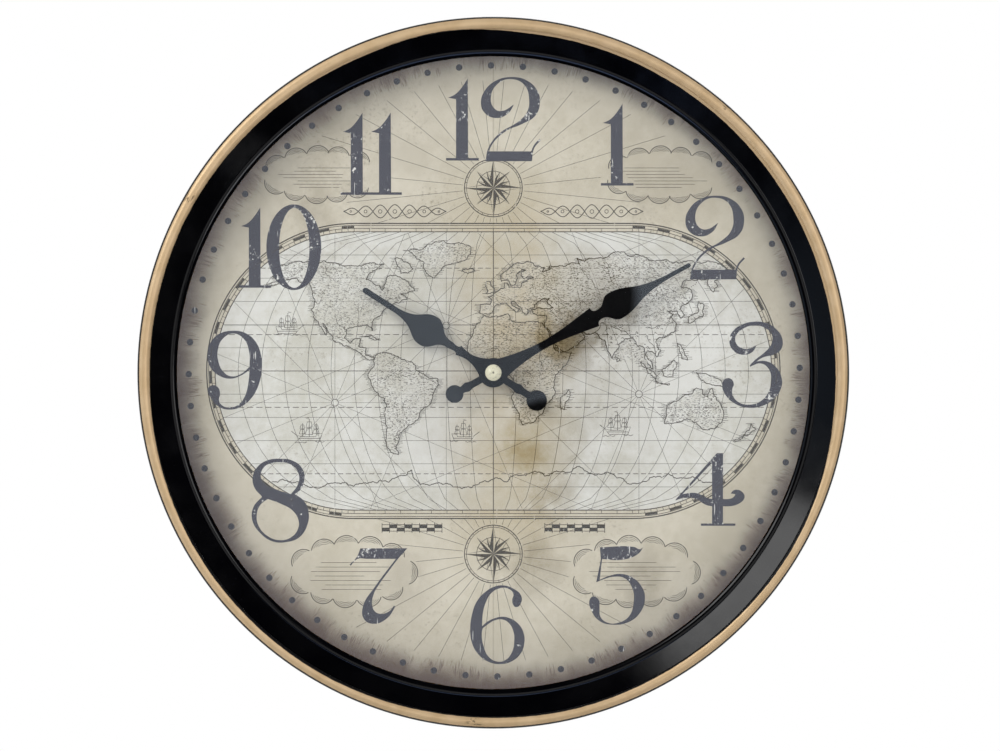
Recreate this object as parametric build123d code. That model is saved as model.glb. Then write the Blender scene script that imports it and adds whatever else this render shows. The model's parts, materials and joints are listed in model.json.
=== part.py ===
from build123d import *
import math
import os

# Round wall clock: gold rim, black stepped bezel, printed map dial under flat glass,
# two spade hands and a battery quartz movement that shows through the rear case.
# The wall is the plane y = 0, the dial faces -Y and the hands' axis is the Y axis.
# A "height" is the distance from the wall, a "depth" the distance behind the movement's front.

# Case seen from the front
outer_diameter = 330.0
rim_width = 5.7
rim_skirt = 3.0
crown_step = 1.0
crown_drop = 0.6
slope_width = 8.8
slope_drop = 4.6
lip_width = 3.5
lip_rise = 1.6
lip_edge = 0.35
lip_crest_inset = 0.4
lip_crest_level = 0.88

# Case walls and seats
bezel_wall = 3.0
bezel_skin = 2.2
pocket_wall = 2.0
glass_overlap = 3.5
glass_clearance = 0.5
glass_thickness = 2.0
spacer_wall = 2.5
dial_plate_thickness = 2.5
dial_sheet_thickness = 0.3
rear_recess = 4.0
rear_panel = 2.5
rear_wall = 3.0
rear_chamfer = 0.8
ledge_wall = 2.5
ledge_inset = 1.5
flange_height = 3.0
flange_margin = 0.6
aperture_clearance = 1.2

# Case screws, driven from the rear
screw_count = 6
screw_diameter = 3.0
screw_length = 26.0
screw_head_diameter = 5.6
screw_head_height = 1.8
screw_slot_length = 3.6
screw_slot_width = 0.7
screw_slot_depth = 0.9
screw_hole_clearance = 0.2
pilot_extra = 1.5
boss_diameter = 7.6
boss_root = 0.8

# Keyhole for the wall nail
keyhole_diameter = 10.0
keyhole_slot_width = 5.0
keyhole_slot_length = 12.0
keyhole_height = 125.0

# Battery and movement box
battery_diameter = 14.5
battery_length = 50.5
battery_nub_diameter = 5.5
battery_nub_length = 1.0
battery_clearance = 0.1
bay_clearance = 0.3
contact_depth = 1.35
contact_strip = 0.3
contact_height = 8.0
contact_width = 5.0
contact_flat = 2.0
contact_bend = 0.9
contact_lift = 0.15
contact_free_end = 1.0
movement_wall = 1.4
movement_corner = 3.0
movement_standoff = 5.0
partition_wall = 1.2

# Stack in front of the movement
rubber_thickness = 0.8
rubber_diameter = 20.0
washer_thickness = 0.6
washer_diameter = 13.0
hex_nut_thickness = 2.0
hex_nut_width = 11.0
bush_diameter = 8.0
bush_stub = 0.8
bush_flange_thickness = 0.3
bush_hole_clearance = 0.1
hour_gap = 0.8
hand_thickness = 0.5
collet_height = 0.7
collet_diameter = 7.8
pipe_stub = 0.2
minute_gap = 1.4
cap_diameter = 7.6
cap_height = 2.8
cap_edge = 1.0
glass_gap = 1.7
shaft_tip = 2.1

# Hour pipe and minute shaft
hour_pipe_diameter = 5.2
hour_seat_diameter = 4.8
minute_shaft_diameter = 3.6
minute_seat_diameter = 2.8
clutch_seat_diameter = 2.4
running_clearance = 0.05
pivot_clearance = 0.04

# Hands: angles clockwise from twelve, distances from the axis
minute_angle = 61.2
minute_length = 104.8
minute_tip_width = 2.0
minute_tip_straight = 9.8
minute_spade_at = 64.8
minute_spade_width = 13.4
minute_shoulder = 8.2
minute_neck_width = 4.7
minute_barb_back = 2.8
minute_barb_width = 9.5
minute_waist_at = 29.6
minute_waist_width = 3.7
minute_hub_diameter = 13.2
minute_tail_at = 20.6
minute_tail_diameter = 8.3
hour_angle = 302.7
hour_length = 72.2
hour_tip_width = 2.7
hour_tip_straight = 17.5
hour_spade_at = 36.1
hour_spade_width = 15.2
hour_shoulder = 11.1
hour_neck_width = 3.6
hour_barb_back = 5.6
hour_barb_width = 5.1
hour_waist_at = 15.2
hour_waist_width = 3.3
hour_hub_diameter = 13.8
hour_tail_at = 24.0
hour_tail_diameter = 9.6
tail_neck_width = 3.3
tail_collar_at = 13.9
tail_collar_width = 4.6
tail_collar_run = 2.4

# Shape of a hand's curves, as shares of the widths and lengths that they join
flank_share = 0.42
shank_share = 0.3
root_curve_share = 0.2
root_width_share = 0.75
root_reach_share = 0.6

# Wheels: tooth counts, modules and the shares of a pitch that a tooth takes at root and tip
cannon_teeth = 12
reverser_teeth = 36
reverser_pinion_teeth = 10
hour_teeth = 40
setting_teeth = 12
centre_teeth = 64
third_pinion_teeth = 8
third_teeth = 60
second_pinion_teeth = 8
second_teeth = 60
intermediate_pinion_teeth = 10
intermediate_teeth = 60
rotor_teeth = 12
minute_module = 0.25
centre_module = 0.2
second_module = 0.21
rotor_module = 0.18
addendum = 0.85
dedendum = 1.2
wheel_root_share = 0.29
wheel_tip_share = 0.11
pinion_root_share = 0.17
pinion_tip_share = 0.1

# Directions from one arbor to the next, in degrees anticlockwise from the right
reverser_direction = 140.0
third_direction = 0.0
intermediate_direction = 75.0
rotor_direction = 45.0

# Depths of the train behind the movement's front face, layer by layer
layer_gap = 0.4
cannon_gap = 0.3
play = 0.15
hour_wheel_thickness = 1.2
reverser_thickness = 1.2
cannon_height = 1.7
centre_wheel_thickness = 1.0
clutch_washer_thickness = 0.5
clutch_washer_diameter = 4.4
train_plate_thickness = 0.8
third_wheel_thickness = 1.0
second_wheel_thickness = 0.8
intermediate_thickness = 0.8
pinion_overlap = 0.2
arbor_diameter = 1.0
pivot_diameter = 0.7
pivot_length = 0.8
pivot_hole_extra = 0.2
lid_boss_diameter = 2.4
stud_diameter = 1.12
clip_diameter = 2.4
clip_thickness = 0.3
setting_shaft_diameter = 2.0
knob_diameter = 14.0
knob_wall_gap = 1.0
knob_ridges = 30
knob_ridge_depth = 0.5
post_diameter = 3.0
plate_margin = 3.8
plate_side_margin = 7.6
plate_gap = 0.8

# Stepping motor and electronics
magnet_diameter = 4.0
magnet_length = 2.6
stator_gap = 0.5
stator_thickness = 1.0
stator_ring = 1.9
stator_bar = 3.0
stator_leg = 3.5
stator_span = 39.0
core_width = 3.5
core_thickness = 1.0
bobbin_length = 26.0
bobbin_wall = 0.8
bobbin_flange = 1.0
bobbin_flange_size = 8.4
winding_size = 7.2
coil_margin = 1.15
board_width = 12.5
board_height = 15.0
board_thickness = 0.8
board_depth = 11.6
board_gap = 1.1
board_post_diameter = 2.6
crystal_diameter = 2.0
crystal_length = 6.2
crystal_inset = 3.4
chip_diameter = 4.4
chip_height = 0.8
chip_inset = 4.5

# Radii of the case
outer_radius = outer_diameter / 2
rim_inner = outer_radius - rim_width
skirt_inner = outer_radius - rim_skirt
lip_outer = rim_inner - slope_width
lip_inner = lip_outer - lip_width
bezel_inner = skirt_inner - bezel_wall
glass_radius = lip_inner + glass_overlap
pocket_radius = glass_radius + glass_clearance
ledge_outer = glass_radius - ledge_inset
rear_inner = skirt_inner - rear_wall
boss_circle = max(bezel_inner, rear_inner) + boss_root - boss_diameter / 2
bush_hole = bush_diameter / 2 + bush_hole_clearance

# Train layout, in the dial's plane
hour_module = minute_module * (cannon_teeth + reverser_teeth) / (hour_teeth + reverser_pinion_teeth)
third_module = centre_module * (centre_teeth + third_pinion_teeth) / (third_teeth + second_pinion_teeth)


def step(start, direction, distance):
    """Point a distance away from another, along a direction in degrees."""
    angle = math.radians(direction)
    return (start[0] + distance * math.cos(angle), start[1] + distance * math.sin(angle))


centre = (0.0, 0.0)
reverser_distance = minute_module * (cannon_teeth + reverser_teeth) / 2
reverser_place = step(centre, reverser_direction, reverser_distance)
setting_place = step(reverser_place, reverser_direction, minute_module * (reverser_teeth + setting_teeth) / 2)
third_place = step(centre, third_direction, centre_module * (centre_teeth + third_pinion_teeth) / 2)
intermediate_place = step(
    centre, intermediate_direction, second_module * (second_teeth + intermediate_pinion_teeth) / 2
)
rotor_place = step(
    intermediate_place, rotor_direction, rotor_module * (intermediate_teeth + rotor_teeth) / 2
)

# Train depths
hour_wheel_front = movement_wall + layer_gap
hour_wheel_rear = hour_wheel_front + hour_wheel_thickness
cannon_front = hour_wheel_rear + cannon_gap
cannon_rear = cannon_front + cannon_height
reverser_front = cannon_front + pinion_overlap
reverser_rear = reverser_front + reverser_thickness
clip_rear = reverser_rear + play + clip_thickness
centre_front = max(cannon_rear, clip_rear) + layer_gap
centre_rear = centre_front + centre_wheel_thickness
clutch_front = centre_rear + play
clutch_rear = clutch_front + clutch_washer_thickness
plate_front = clutch_rear + layer_gap
plate_rear = plate_front + train_plate_thickness
train_shoulder = plate_rear + play
third_front = plate_rear + layer_gap
third_rear = third_front + third_wheel_thickness
third_end = third_rear + pinion_overlap
second_front = third_end + layer_gap
second_rear = second_front + second_wheel_thickness
intermediate_front = second_rear + layer_gap + pinion_overlap
intermediate_rear = intermediate_front + intermediate_thickness
rotor_end = intermediate_rear + pinion_overlap + play
magnet_front = train_shoulder + layer_gap
magnet_rear = magnet_front + magnet_length
stator_front = magnet_front + (magnet_length - stator_thickness) / 2
stator_rear = stator_front + stator_thickness
core_front = stator_front - core_thickness
core_middle = core_front + core_thickness / 2
board_rear = board_depth + board_thickness
train_rear = max(
    rotor_end + pivot_length + pivot_hole_extra + play,
    core_middle + bobbin_flange_size / 2 + layer_gap,
    board_rear + layer_gap,
)

# Movement box
movement_size = battery_length + 2 * contact_depth + 2 * movement_wall
movement_depth = max(movement_wall + battery_clearance + battery_diameter, train_rear + movement_wall)
lid_seat = movement_depth - movement_wall
room_half = movement_size / 2 - movement_wall
battery_z = -room_half + bay_clearance + battery_diameter / 2
battery_depth = movement_wall + battery_clearance + battery_diameter / 2
partition_low = battery_z + battery_diameter / 2 + bay_clearance
partition_high = partition_low + partition_wall
aperture_size = movement_size + 2 * aperture_clearance

# Heights above the wall
panel_front = rear_recess + rear_panel
movement_front = movement_standoff + movement_depth
dial_rear = movement_front + rubber_thickness
sheet_rear = dial_rear + dial_plate_thickness
sheet_front = sheet_rear + dial_sheet_thickness
washer_front = sheet_front + washer_thickness
hex_nut_front = washer_front + hex_nut_thickness
bush_front = hex_nut_front + bush_stub
hour_hand_rear = bush_front + hour_gap
hour_hand_front = hour_hand_rear + hand_thickness
collet_front = hour_hand_front + collet_height
pipe_front = collet_front + pipe_stub
minute_hand_rear = pipe_front + minute_gap
minute_hand_front = minute_hand_rear + hand_thickness
cap_front = minute_hand_front + cap_height
glass_rear = cap_front + glass_gap
glass_front = glass_rear + glass_thickness
crease_height = glass_front + lip_rise
shoulder_height = crease_height + slope_drop
split_height = movement_front


def front_plane(height):
    """Plane parallel to the wall, seen from the front: x to the right, z up."""
    return Plane.XZ.offset(height)


def prism(sketch, low, high):
    """Solid of a flat outline between two heights above the wall."""
    return extrude(front_plane(low) * sketch, high - low, dir=(0, -1, 0))


def deep_prism(sketch, shallow, deep):
    """Solid of a flat outline between two depths behind the movement's front."""
    return prism(sketch, movement_front - deep, movement_front - shallow)


def disc(diameter, place=centre):
    """Flat round outline about a place."""
    return Pos(*place) * Circle(diameter / 2)


def box(left, right, low, high):
    """Flat rectangle from its four sides."""
    return Pos((left + right) / 2, (low + high) / 2) * Rectangle(right - left, high - low)


def lathe(edges):
    """Solid turned about the hands' axis from edges drawn as radius and minus height."""
    return revolve(make_face(edges), Axis.Y)


def profile(*points):
    """Corners given as radius and height, turned into the lathe's drawing."""
    return [(radius, -height) for radius, height in points]


def closed(*points):
    """Closed straight-sided drawing for the lathe."""
    return Polyline(*profile(*points), close=True)


def mesh_phase(count, phase, direction, other_count):
    """Turn of a wheel, in radians, that puts its gap opposite the tooth of the wheel it meets."""
    bearing = math.radians(direction)
    return bearing + math.pi - (count * (phase - bearing) + math.pi) / other_count


def toothed(count, module, place, phase, root_share, tip_share):
    """Flat outline of a wheel with straight-sided teeth."""
    pitch = 2 * math.pi / count
    root = module * (count / 2 - dedendum)
    tip = module * (count / 2 + addendum)
    corners = []
    for tooth in range(count):
        middle = phase + tooth * pitch
        for radius, share in ((root, -root_share), (tip, -tip_share), (tip, tip_share), (root, root_share)):
            angle = middle + share * pitch
            corners.append((place[0] + radius * math.cos(angle), place[1] + radius * math.sin(angle)))
    return make_face(Polyline(*corners, close=True))


def wheel(count, module, place, phase):
    """Outline of a large wheel."""
    return toothed(count, module, place, phase, wheel_root_share, wheel_tip_share)


def pinion(count, module, place, phase):
    """Outline of a small wheel."""
    return toothed(count, module, place, phase, pinion_root_share, pinion_tip_share)


def slope_height(radius):
    """Height of the bezel's black slope at a radius."""
    return crease_height + slope_drop * (radius - lip_outer) / slope_width


def boss_places():
    """Centres of the screw bosses in the dial's plane."""
    return [step(centre, 360.0 * turn / screw_count, boss_circle) for turn in range(screw_count)]


def gold_rim():
    """Rounded gold ring with a skirt that runs back over the bezel's wall."""
    base = shoulder_height - crown_drop
    inner_top = shoulder_height + crown_step
    rise = crown_drop + crown_step
    crown_radius = (rim_width**2 + rise**2) / (2 * rim_width)
    outer, crest, inner = profile(
        (outer_radius, base), (outer_radius - crown_radius, base + crown_radius), (rim_inner, inner_top)
    )
    crown = ThreePointArc(outer, crest, inner)
    rest = Polyline(
        *profile(
            (rim_inner, inner_top),
            (rim_inner, shoulder_height),
            (skirt_inner, shoulder_height),
            (skirt_inner, split_height),
            (outer_radius, split_height),
            (outer_radius, base),
        )
    )
    return lathe([*crown.edges(), *rest.edges()])


def bezel():
    """Black ring: wall, slope, rounded lip over the glass, pocket wall and screw bosses."""
    pocket_outer = pocket_radius + pocket_wall
    start, crest, end = profile(
        (lip_outer, crease_height),
        (lip_inner + lip_crest_inset * lip_width, glass_front + lip_crest_level * lip_rise),
        (lip_inner, glass_front + lip_edge),
    )
    lip = ThreePointArc(start, crest, end)
    rest = Polyline(
        *profile(
            (lip_inner, glass_front + lip_edge),
            (lip_inner, glass_front),
            (pocket_radius, glass_front),
            (pocket_radius, split_height),
            (pocket_outer, split_height),
            (pocket_outer, slope_height(pocket_outer) - bezel_skin),
            (bezel_inner, slope_height(bezel_inner) - bezel_skin),
            (bezel_inner, split_height),
            (skirt_inner, split_height),
            (skirt_inner, shoulder_height),
            (rim_inner, shoulder_height),
            (lip_outer, crease_height),
        )
    )
    ring = lathe([*lip.edges(), *rest.edges()])
    screw_end = rear_recess + screw_length
    for place in boss_places():
        ring += prism(disc(boss_diameter, place), split_height, crease_height)
    for place in boss_places():
        ring -= prism(disc(screw_diameter, place), split_height, screw_end + pilot_extra)
    ring -= prism(disc(2 * pocket_radius), split_height, glass_front)
    return ring


def rear_case():
    """Black rear shell: wall, recessed panel, dial ledge, bosses, movement aperture and keyhole."""
    shell = lathe(
        closed(
            (0.0, rear_recess),
            (rear_inner, rear_recess),
            (rear_inner, 0.0),
            (skirt_inner - rear_chamfer, 0.0),
            (skirt_inner, rear_chamfer),
            (skirt_inner, split_height - flange_height),
            (outer_radius - flange_margin, split_height - flange_height),
            (outer_radius - flange_margin, split_height),
            (rear_inner, split_height),
            (rear_inner, panel_front),
            (ledge_outer, panel_front),
            (ledge_outer, dial_rear),
            (ledge_outer - ledge_wall, dial_rear),
            (ledge_outer - ledge_wall, panel_front),
            (0.0, panel_front),
        )
    )
    for place in boss_places():
        shell += prism(disc(boss_diameter, place), rear_recess, split_height)
    for place in boss_places():
        shell -= prism(disc(screw_diameter + 2 * screw_hole_clearance, place), rear_recess, split_height)
    corner = movement_corner + aperture_clearance
    shell -= prism(RectangleRounded(aperture_size, aperture_size, corner), rear_recess, panel_front)
    slot_top = keyhole_height + keyhole_slot_length
    half_slot = keyhole_slot_width / 2
    keyhole = disc(keyhole_diameter, (0.0, keyhole_height))
    keyhole += box(-half_slot, half_slot, keyhole_height, slot_top)
    keyhole += disc(keyhole_slot_width, (0.0, slot_top))
    return shell - prism(keyhole, rear_recess, panel_front)


def case_screws():
    """Pan-head screws that draw the rear case and the bezel together."""
    screws = []
    head_rear = rear_recess - screw_head_height
    for place in boss_places():
        screw = prism(disc(screw_diameter, place), rear_recess, rear_recess + screw_length)
        screw += prism(disc(screw_head_diameter, place), head_rear, rear_recess)
        for turn in (0, 90):
            slot = Pos(*place) * Rot(0, 0, turn) * Rectangle(screw_slot_length, screw_slot_width)
            screw -= prism(slot, head_rear, head_rear + screw_slot_depth)
        screws.append(screw)
    return screws


def glass_lens():
    """Flat window, clamped between the bezel's lip and the spacer ring."""
    return prism(disc(2 * glass_radius), glass_rear, glass_front)


def spacer_ring():
    """Ring that holds the glass off the dial."""
    ring = disc(2 * glass_radius) - disc(2 * (glass_radius - spacer_wall))
    return prism(ring, sheet_front, glass_rear)


def dial_plate():
    """Stiff board that carries the movement and the print."""
    return prism(disc(2 * glass_radius) - disc(2 * bush_hole), dial_rear, sheet_rear)


def dial_sheet():
    """Printed sheet on the board."""
    return prism(disc(2 * glass_radius) - disc(2 * bush_hole), sheet_rear, sheet_front)


def tail_outline(at, diameter):
    """Counterweight of a hand: a thin neck with a pointed collar, then a disc."""
    half = tail_neck_width / 2
    collar = tail_collar_width / 2
    collar_start = -(tail_collar_at - tail_collar_run)
    collar_end = -(tail_collar_at + tail_collar_run)
    right = [(half, 0.0), (half, collar_start), (collar, -tail_collar_at), (half, collar_end), (half, -at)]
    left = [(-x, z) for x, z in reversed(right)]
    return make_face(Polyline(*right, *left, close=True)) + disc(diameter, (0.0, -at))


def hand_outline(length, tip_width, tip_straight, spade_at, spade_width, shoulder, neck_width,
                 barb_back, barb_width, waist_at, waist_width, hub_diameter):
    """Spade hand drawn towards twelve: straight tip, spade, neck, barb, waist and hub."""
    tip = tip_width / 2
    spade = spade_width / 2
    neck = neck_width / 2
    barb = barb_width / 2
    waist = waist_width / 2
    hub = hub_diameter / 2
    root = root_width_share * hub
    root_at = root_reach_share * hub
    taper_at = length - tip_straight
    neck_at = spade_at - shoulder
    barb_at = neck_at - barb_back
    along = (0.0, -1.0)
    across = (1.0, 0.0)
    taper = [
        (tip, taper_at),
        (tip + flank_share * (spade - tip), spade_at + flank_share * (taper_at - spade_at)),
        (spade, spade_at),
    ]
    rounding = [(spade, spade_at), ((spade + neck) / 2, (spade_at + neck_at) / 2), (neck, neck_at)]
    scoop = [(neck, neck_at), (barb, barb_at)]
    shank = [
        (barb, barb_at),
        (waist + shank_share * (barb - waist), waist_at + flank_share * (barb_at - waist_at)),
        (waist, waist_at),
        (waist + root_curve_share * (root - waist), (waist_at + root_at) / 2),
        (root, root_at),
    ]
    right = Line((tip, length - tip), taper[0])
    right += Spline(*taper, tangents=(along, along))
    right += Spline(*rounding, tangents=(along, along))
    right += Spline(*scoop, tangents=(along, across))
    right += Spline(*shank)
    right += Line(shank[-1], (root, 0.0))
    left = mirror(right, Plane.YZ)
    end = ThreePointArc((tip, length - tip), (0.0, length), (-tip, length - tip))
    base = Line((root, 0.0), (-root, 0.0))
    outline = make_face([*right.edges(), *left.edges(), *end.edges(), *base.edges()])
    return outline + disc(hub_diameter)


def hour_hand():
    """Short black spade hand with its bore over the hour pipe's seat."""
    outline = hand_outline(
        hour_length, hour_tip_width, hour_tip_straight, hour_spade_at, hour_spade_width, hour_shoulder,
        hour_neck_width, hour_barb_back, hour_barb_width, hour_waist_at, hour_waist_width, hour_hub_diameter,
    )
    outline += tail_outline(hour_tail_at, hour_tail_diameter)
    outline -= disc(hour_seat_diameter)
    return prism(Rot(0, 0, -hour_angle) * outline, hour_hand_rear, hour_hand_front)


def minute_hand():
    """Long black spade hand with its bore over the minute shaft's seat."""
    outline = hand_outline(
        minute_length, minute_tip_width, minute_tip_straight, minute_spade_at, minute_spade_width,
        minute_shoulder, minute_neck_width, minute_barb_back, minute_barb_width, minute_waist_at,
        minute_waist_width, minute_hub_diameter,
    )
    outline += tail_outline(minute_tail_at, minute_tail_diameter)
    outline -= disc(minute_seat_diameter)
    return prism(Rot(0, 0, -minute_angle) * outline, minute_hand_rear, minute_hand_front)


def hour_collet():
    """Brass ring riveted over the hour hand's bore."""
    return prism(disc(collet_diameter) - disc(hour_seat_diameter), hour_hand_front, collet_front)


def hand_nut():
    """Domed cap nut over the end of the minute shaft."""
    radius = cap_diameter / 2
    bore = minute_seat_diameter / 2
    bore_end = minute_hand_front + shaft_tip
    edge = minute_hand_front + cap_edge
    dome_height = cap_front - edge
    dome_radius = (radius**2 + dome_height**2) / (2 * dome_height)
    half_angle = math.asin(radius / dome_radius) / 2
    crest_height = cap_front - dome_radius * (1 - math.cos(half_angle))
    rim, crest, top = profile(
        (radius, edge), (dome_radius * math.sin(half_angle), crest_height), (0.0, cap_front)
    )
    dome = ThreePointArc(rim, crest, top)
    rest = Polyline(
        *profile(
            (0.0, cap_front),
            (0.0, bore_end),
            (bore, bore_end),
            (bore, minute_hand_front),
            (radius, minute_hand_front),
            (radius, edge),
        )
    )
    return lathe([*dome.edges(), *rest.edges()])


def centre_bush():
    """Brass bush through the movement's front and the dial, with a flange inside the box."""
    flange_rear = movement_front - movement_wall - bush_flange_thickness
    flange_radius = (bush_diameter / 2 + reverser_distance - stud_diameter / 2) / 2
    bore = hour_pipe_diameter / 2 + running_clearance
    return lathe(
        closed(
            (bore, flange_rear),
            (flange_radius, flange_rear),
            (flange_radius, movement_front - movement_wall),
            (bush_diameter / 2, movement_front - movement_wall),
            (bush_diameter / 2, bush_front),
            (bore, bush_front),
        )
    )


def hex_nut():
    """Nut that clamps the movement to the dial board."""
    outline = RegularPolygon(hex_nut_width / 2, 6, major_radius=False) - disc(bush_diameter)
    return prism(outline, washer_front, hex_nut_front)


def brass_washer():
    """Washer under the nut."""
    return prism(disc(washer_diameter) - disc(2 * bush_hole), sheet_front, washer_front)


def rubber_washer():
    """Soft washer between the movement and the dial board."""
    return prism(disc(rubber_diameter) - disc(2 * bush_hole), movement_front, dial_rear)


def hour_wheel():
    """Hour wheel with the pipe that carries the hour hand."""
    bore = minute_shaft_diameter + 2 * running_clearance
    solid = deep_prism(wheel(hour_teeth, hour_module, centre, 0.0), hour_wheel_front, hour_wheel_rear)
    solid += prism(disc(hour_pipe_diameter), movement_front - hour_wheel_rear, hour_hand_rear)
    solid += prism(disc(hour_seat_diameter), hour_hand_rear, pipe_front)
    return solid - prism(disc(bore), movement_front - hour_wheel_rear, pipe_front)


def minute_shaft():
    """Shaft with the cannon pinion, the clutch seat and a rear bore for the seconds arbor."""
    solid = prism(disc(minute_shaft_diameter), movement_front - cannon_front, minute_hand_rear)
    solid += prism(disc(minute_seat_diameter), minute_hand_rear, minute_hand_front + shaft_tip)
    solid += deep_prism(pinion(cannon_teeth, minute_module, centre, 0.0), cannon_front, cannon_rear)
    solid += deep_prism(disc(clutch_seat_diameter), cannon_front, clutch_rear)
    return solid - deep_prism(disc(arbor_diameter + 2 * running_clearance), cannon_front, clutch_rear)


def clutch_washer():
    """Spring washer that presses the centre wheel, so that the hands can be set."""
    return deep_prism(disc(clutch_washer_diameter) - disc(clutch_seat_diameter), clutch_front, clutch_rear)


def reverser_wheel():
    """Minute wheel and pinion between the cannon pinion and the hour wheel."""
    phase = mesh_phase(cannon_teeth, 0.0, reverser_direction, reverser_teeth)
    small_phase = mesh_phase(hour_teeth, 0.0, reverser_direction, reverser_pinion_teeth)
    solid = deep_prism(wheel(reverser_teeth, minute_module, reverser_place, phase), reverser_front, reverser_rear)
    small = pinion(reverser_pinion_teeth, hour_module, reverser_place, small_phase)
    solid += deep_prism(small, hour_wheel_front, reverser_front)
    bore = disc(stud_diameter + 2 * pivot_clearance, reverser_place)
    return solid - deep_prism(bore, hour_wheel_front, reverser_rear)


def stud_clip():
    """Ring that keeps the minute wheel on its stud."""
    ring = disc(clip_diameter, reverser_place) - disc(stud_diameter, reverser_place)
    return deep_prism(ring, clip_rear - clip_thickness, clip_rear)


def knob_outline():
    """Round outline with shallow ridges for the thumb."""
    outline = disc(knob_diameter, setting_place)
    for ridge in range(knob_ridges):
        place = step(setting_place, 360.0 * ridge / knob_ridges, knob_diameter / 2)
        outline -= disc(knob_ridge_depth * 2, place)
    return outline


def setting_knob():
    """Rear knob, its shaft and the pinion that turns the minute wheel."""
    wheel_phase = mesh_phase(cannon_teeth, 0.0, reverser_direction, reverser_teeth)
    phase = mesh_phase(reverser_teeth, wheel_phase, reverser_direction, setting_teeth)
    shoulder = movement_wall + play
    knob_front = movement_depth + layer_gap
    knob_rear = movement_front - knob_wall_gap
    solid = deep_prism(disc(setting_shaft_diameter, setting_place), shoulder, knob_front)
    solid += deep_prism(pinion(setting_teeth, minute_module, setting_place, phase), cannon_front, cannon_rear)
    solid += deep_prism(knob_outline(), knob_front, knob_rear)
    return solid + deep_prism(disc(pivot_diameter, setting_place), shoulder - pivot_length, shoulder)


def centre_wheel():
    """Wheel that drives the minute shaft through the clutch."""
    outline = wheel(centre_teeth, centre_module, centre, 0.0)
    bore = disc(clutch_seat_diameter + 2 * pivot_clearance)
    hub = disc(clutch_washer_diameter)
    solid = deep_prism(outline, centre_front, centre_rear)
    solid += deep_prism(hub, cannon_rear + play, centre_rear)
    return solid - deep_prism(bore, cannon_rear + play, centre_rear)


def third_wheel():
    """Third wheel, pinion and arbor, borne in the front shell and the train plate."""
    phase = mesh_phase(centre_teeth, 0.0, third_direction, third_pinion_teeth)
    wheel_phase = mesh_phase(second_pinion_teeth, 0.0, third_direction, third_teeth)
    shoulder = movement_wall + play
    solid = deep_prism(disc(arbor_diameter, third_place), shoulder, third_end)
    solid += deep_prism(disc(pivot_diameter, third_place), shoulder - pivot_length, shoulder)
    small = pinion(third_pinion_teeth, centre_module, third_place, phase)
    solid += deep_prism(small, centre_front - pinion_overlap, centre_rear + pinion_overlap)
    return solid + deep_prism(wheel(third_teeth, third_module, third_place, wheel_phase), third_front, third_rear)


def second_wheel():
    """Seconds wheel, pinion and arbor on the hands' axis."""
    front_end = cannon_rear + play
    rear_end = intermediate_front
    solid = deep_prism(disc(arbor_diameter), front_end, rear_end)
    solid += deep_prism(disc(pivot_diameter), rear_end, rear_end + pivot_length)
    small = pinion(second_pinion_teeth, third_module, centre, 0.0)
    solid += deep_prism(small, third_front - pinion_overlap, second_front)
    return solid + deep_prism(wheel(second_teeth, second_module, centre, 0.0), second_front, second_rear)


def intermediate_wheel():
    """Wheel between the rotor and the seconds wheel."""
    phase = mesh_phase(second_teeth, 0.0, intermediate_direction, intermediate_pinion_teeth)
    solid = deep_prism(disc(arbor_diameter, intermediate_place), train_shoulder, rotor_end)
    for start in (train_shoulder - pivot_length, rotor_end):
        solid += deep_prism(disc(pivot_diameter, intermediate_place), start, start + pivot_length)
    small = pinion(intermediate_pinion_teeth, second_module, intermediate_place, phase)
    solid += deep_prism(small, second_front - pinion_overlap, second_rear + pinion_overlap)
    large = wheel(intermediate_teeth, rotor_module, intermediate_place, 0.0)
    return solid + deep_prism(large, intermediate_front, intermediate_rear)


def rotor_pinion():
    """Rotor arbor and pinion of the stepping motor."""
    phase = mesh_phase(intermediate_teeth, 0.0, rotor_direction, rotor_teeth)
    solid = deep_prism(disc(arbor_diameter, rotor_place), train_shoulder, rotor_end)
    for start in (train_shoulder - pivot_length, rotor_end):
        solid += deep_prism(disc(pivot_diameter, rotor_place), start, start + pivot_length)
    small = pinion(rotor_teeth, rotor_module, rotor_place, phase)
    return solid + deep_prism(small, intermediate_front - pinion_overlap, intermediate_rear + pinion_overlap)


def rotor_magnet():
    """Ring magnet on the rotor arbor."""
    ring = disc(magnet_diameter, rotor_place) - disc(arbor_diameter, rotor_place)
    return deep_prism(ring, magnet_front, magnet_rear)


stator_left = -stator_span / 2
stator_right = stator_span / 2
bar_low = rotor_place[1] - stator_bar / 2
bar_high = rotor_place[1] + stator_bar / 2
coil_z = room_half - bobbin_flange_size / 2 - coil_margin
core_low = coil_z - core_width / 2
core_high = coil_z + core_width / 2
bar_middle = (bar_low + bar_high) / 2
stator_posts = [(stator_left + stator_leg / 2, bar_middle), (stator_right - stator_leg / 2, bar_middle)]
plate_left = setting_place[0] - plate_margin
plate_right = third_place[0] + plate_side_margin
plate_low = partition_high + plate_gap
plate_high = rotor_place[1] + plate_margin
plate_posts = [
    (x, z)
    for x in (plate_left + post_diameter / 2, plate_right - post_diameter / 2)
    for z in (plate_low + post_diameter / 2, plate_high - post_diameter / 2)
]
board_left = -room_half + board_gap
board_right = board_left + board_width
board_low = partition_high + board_gap
board_high = board_low + board_height
board_posts = [
    (board_left + board_post_diameter / 2, board_low + board_post_diameter / 2),
    (board_right - board_post_diameter / 2, board_high - board_post_diameter / 2),
]
crystal_x = board_left + crystal_inset
crystal_low = board_low + crystal_inset
chip_place = (board_right - chip_inset, board_low + chip_inset)


def movement_outline():
    """Rounded square of the movement box."""
    return RectangleRounded(movement_size, movement_size, movement_corner)


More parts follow.
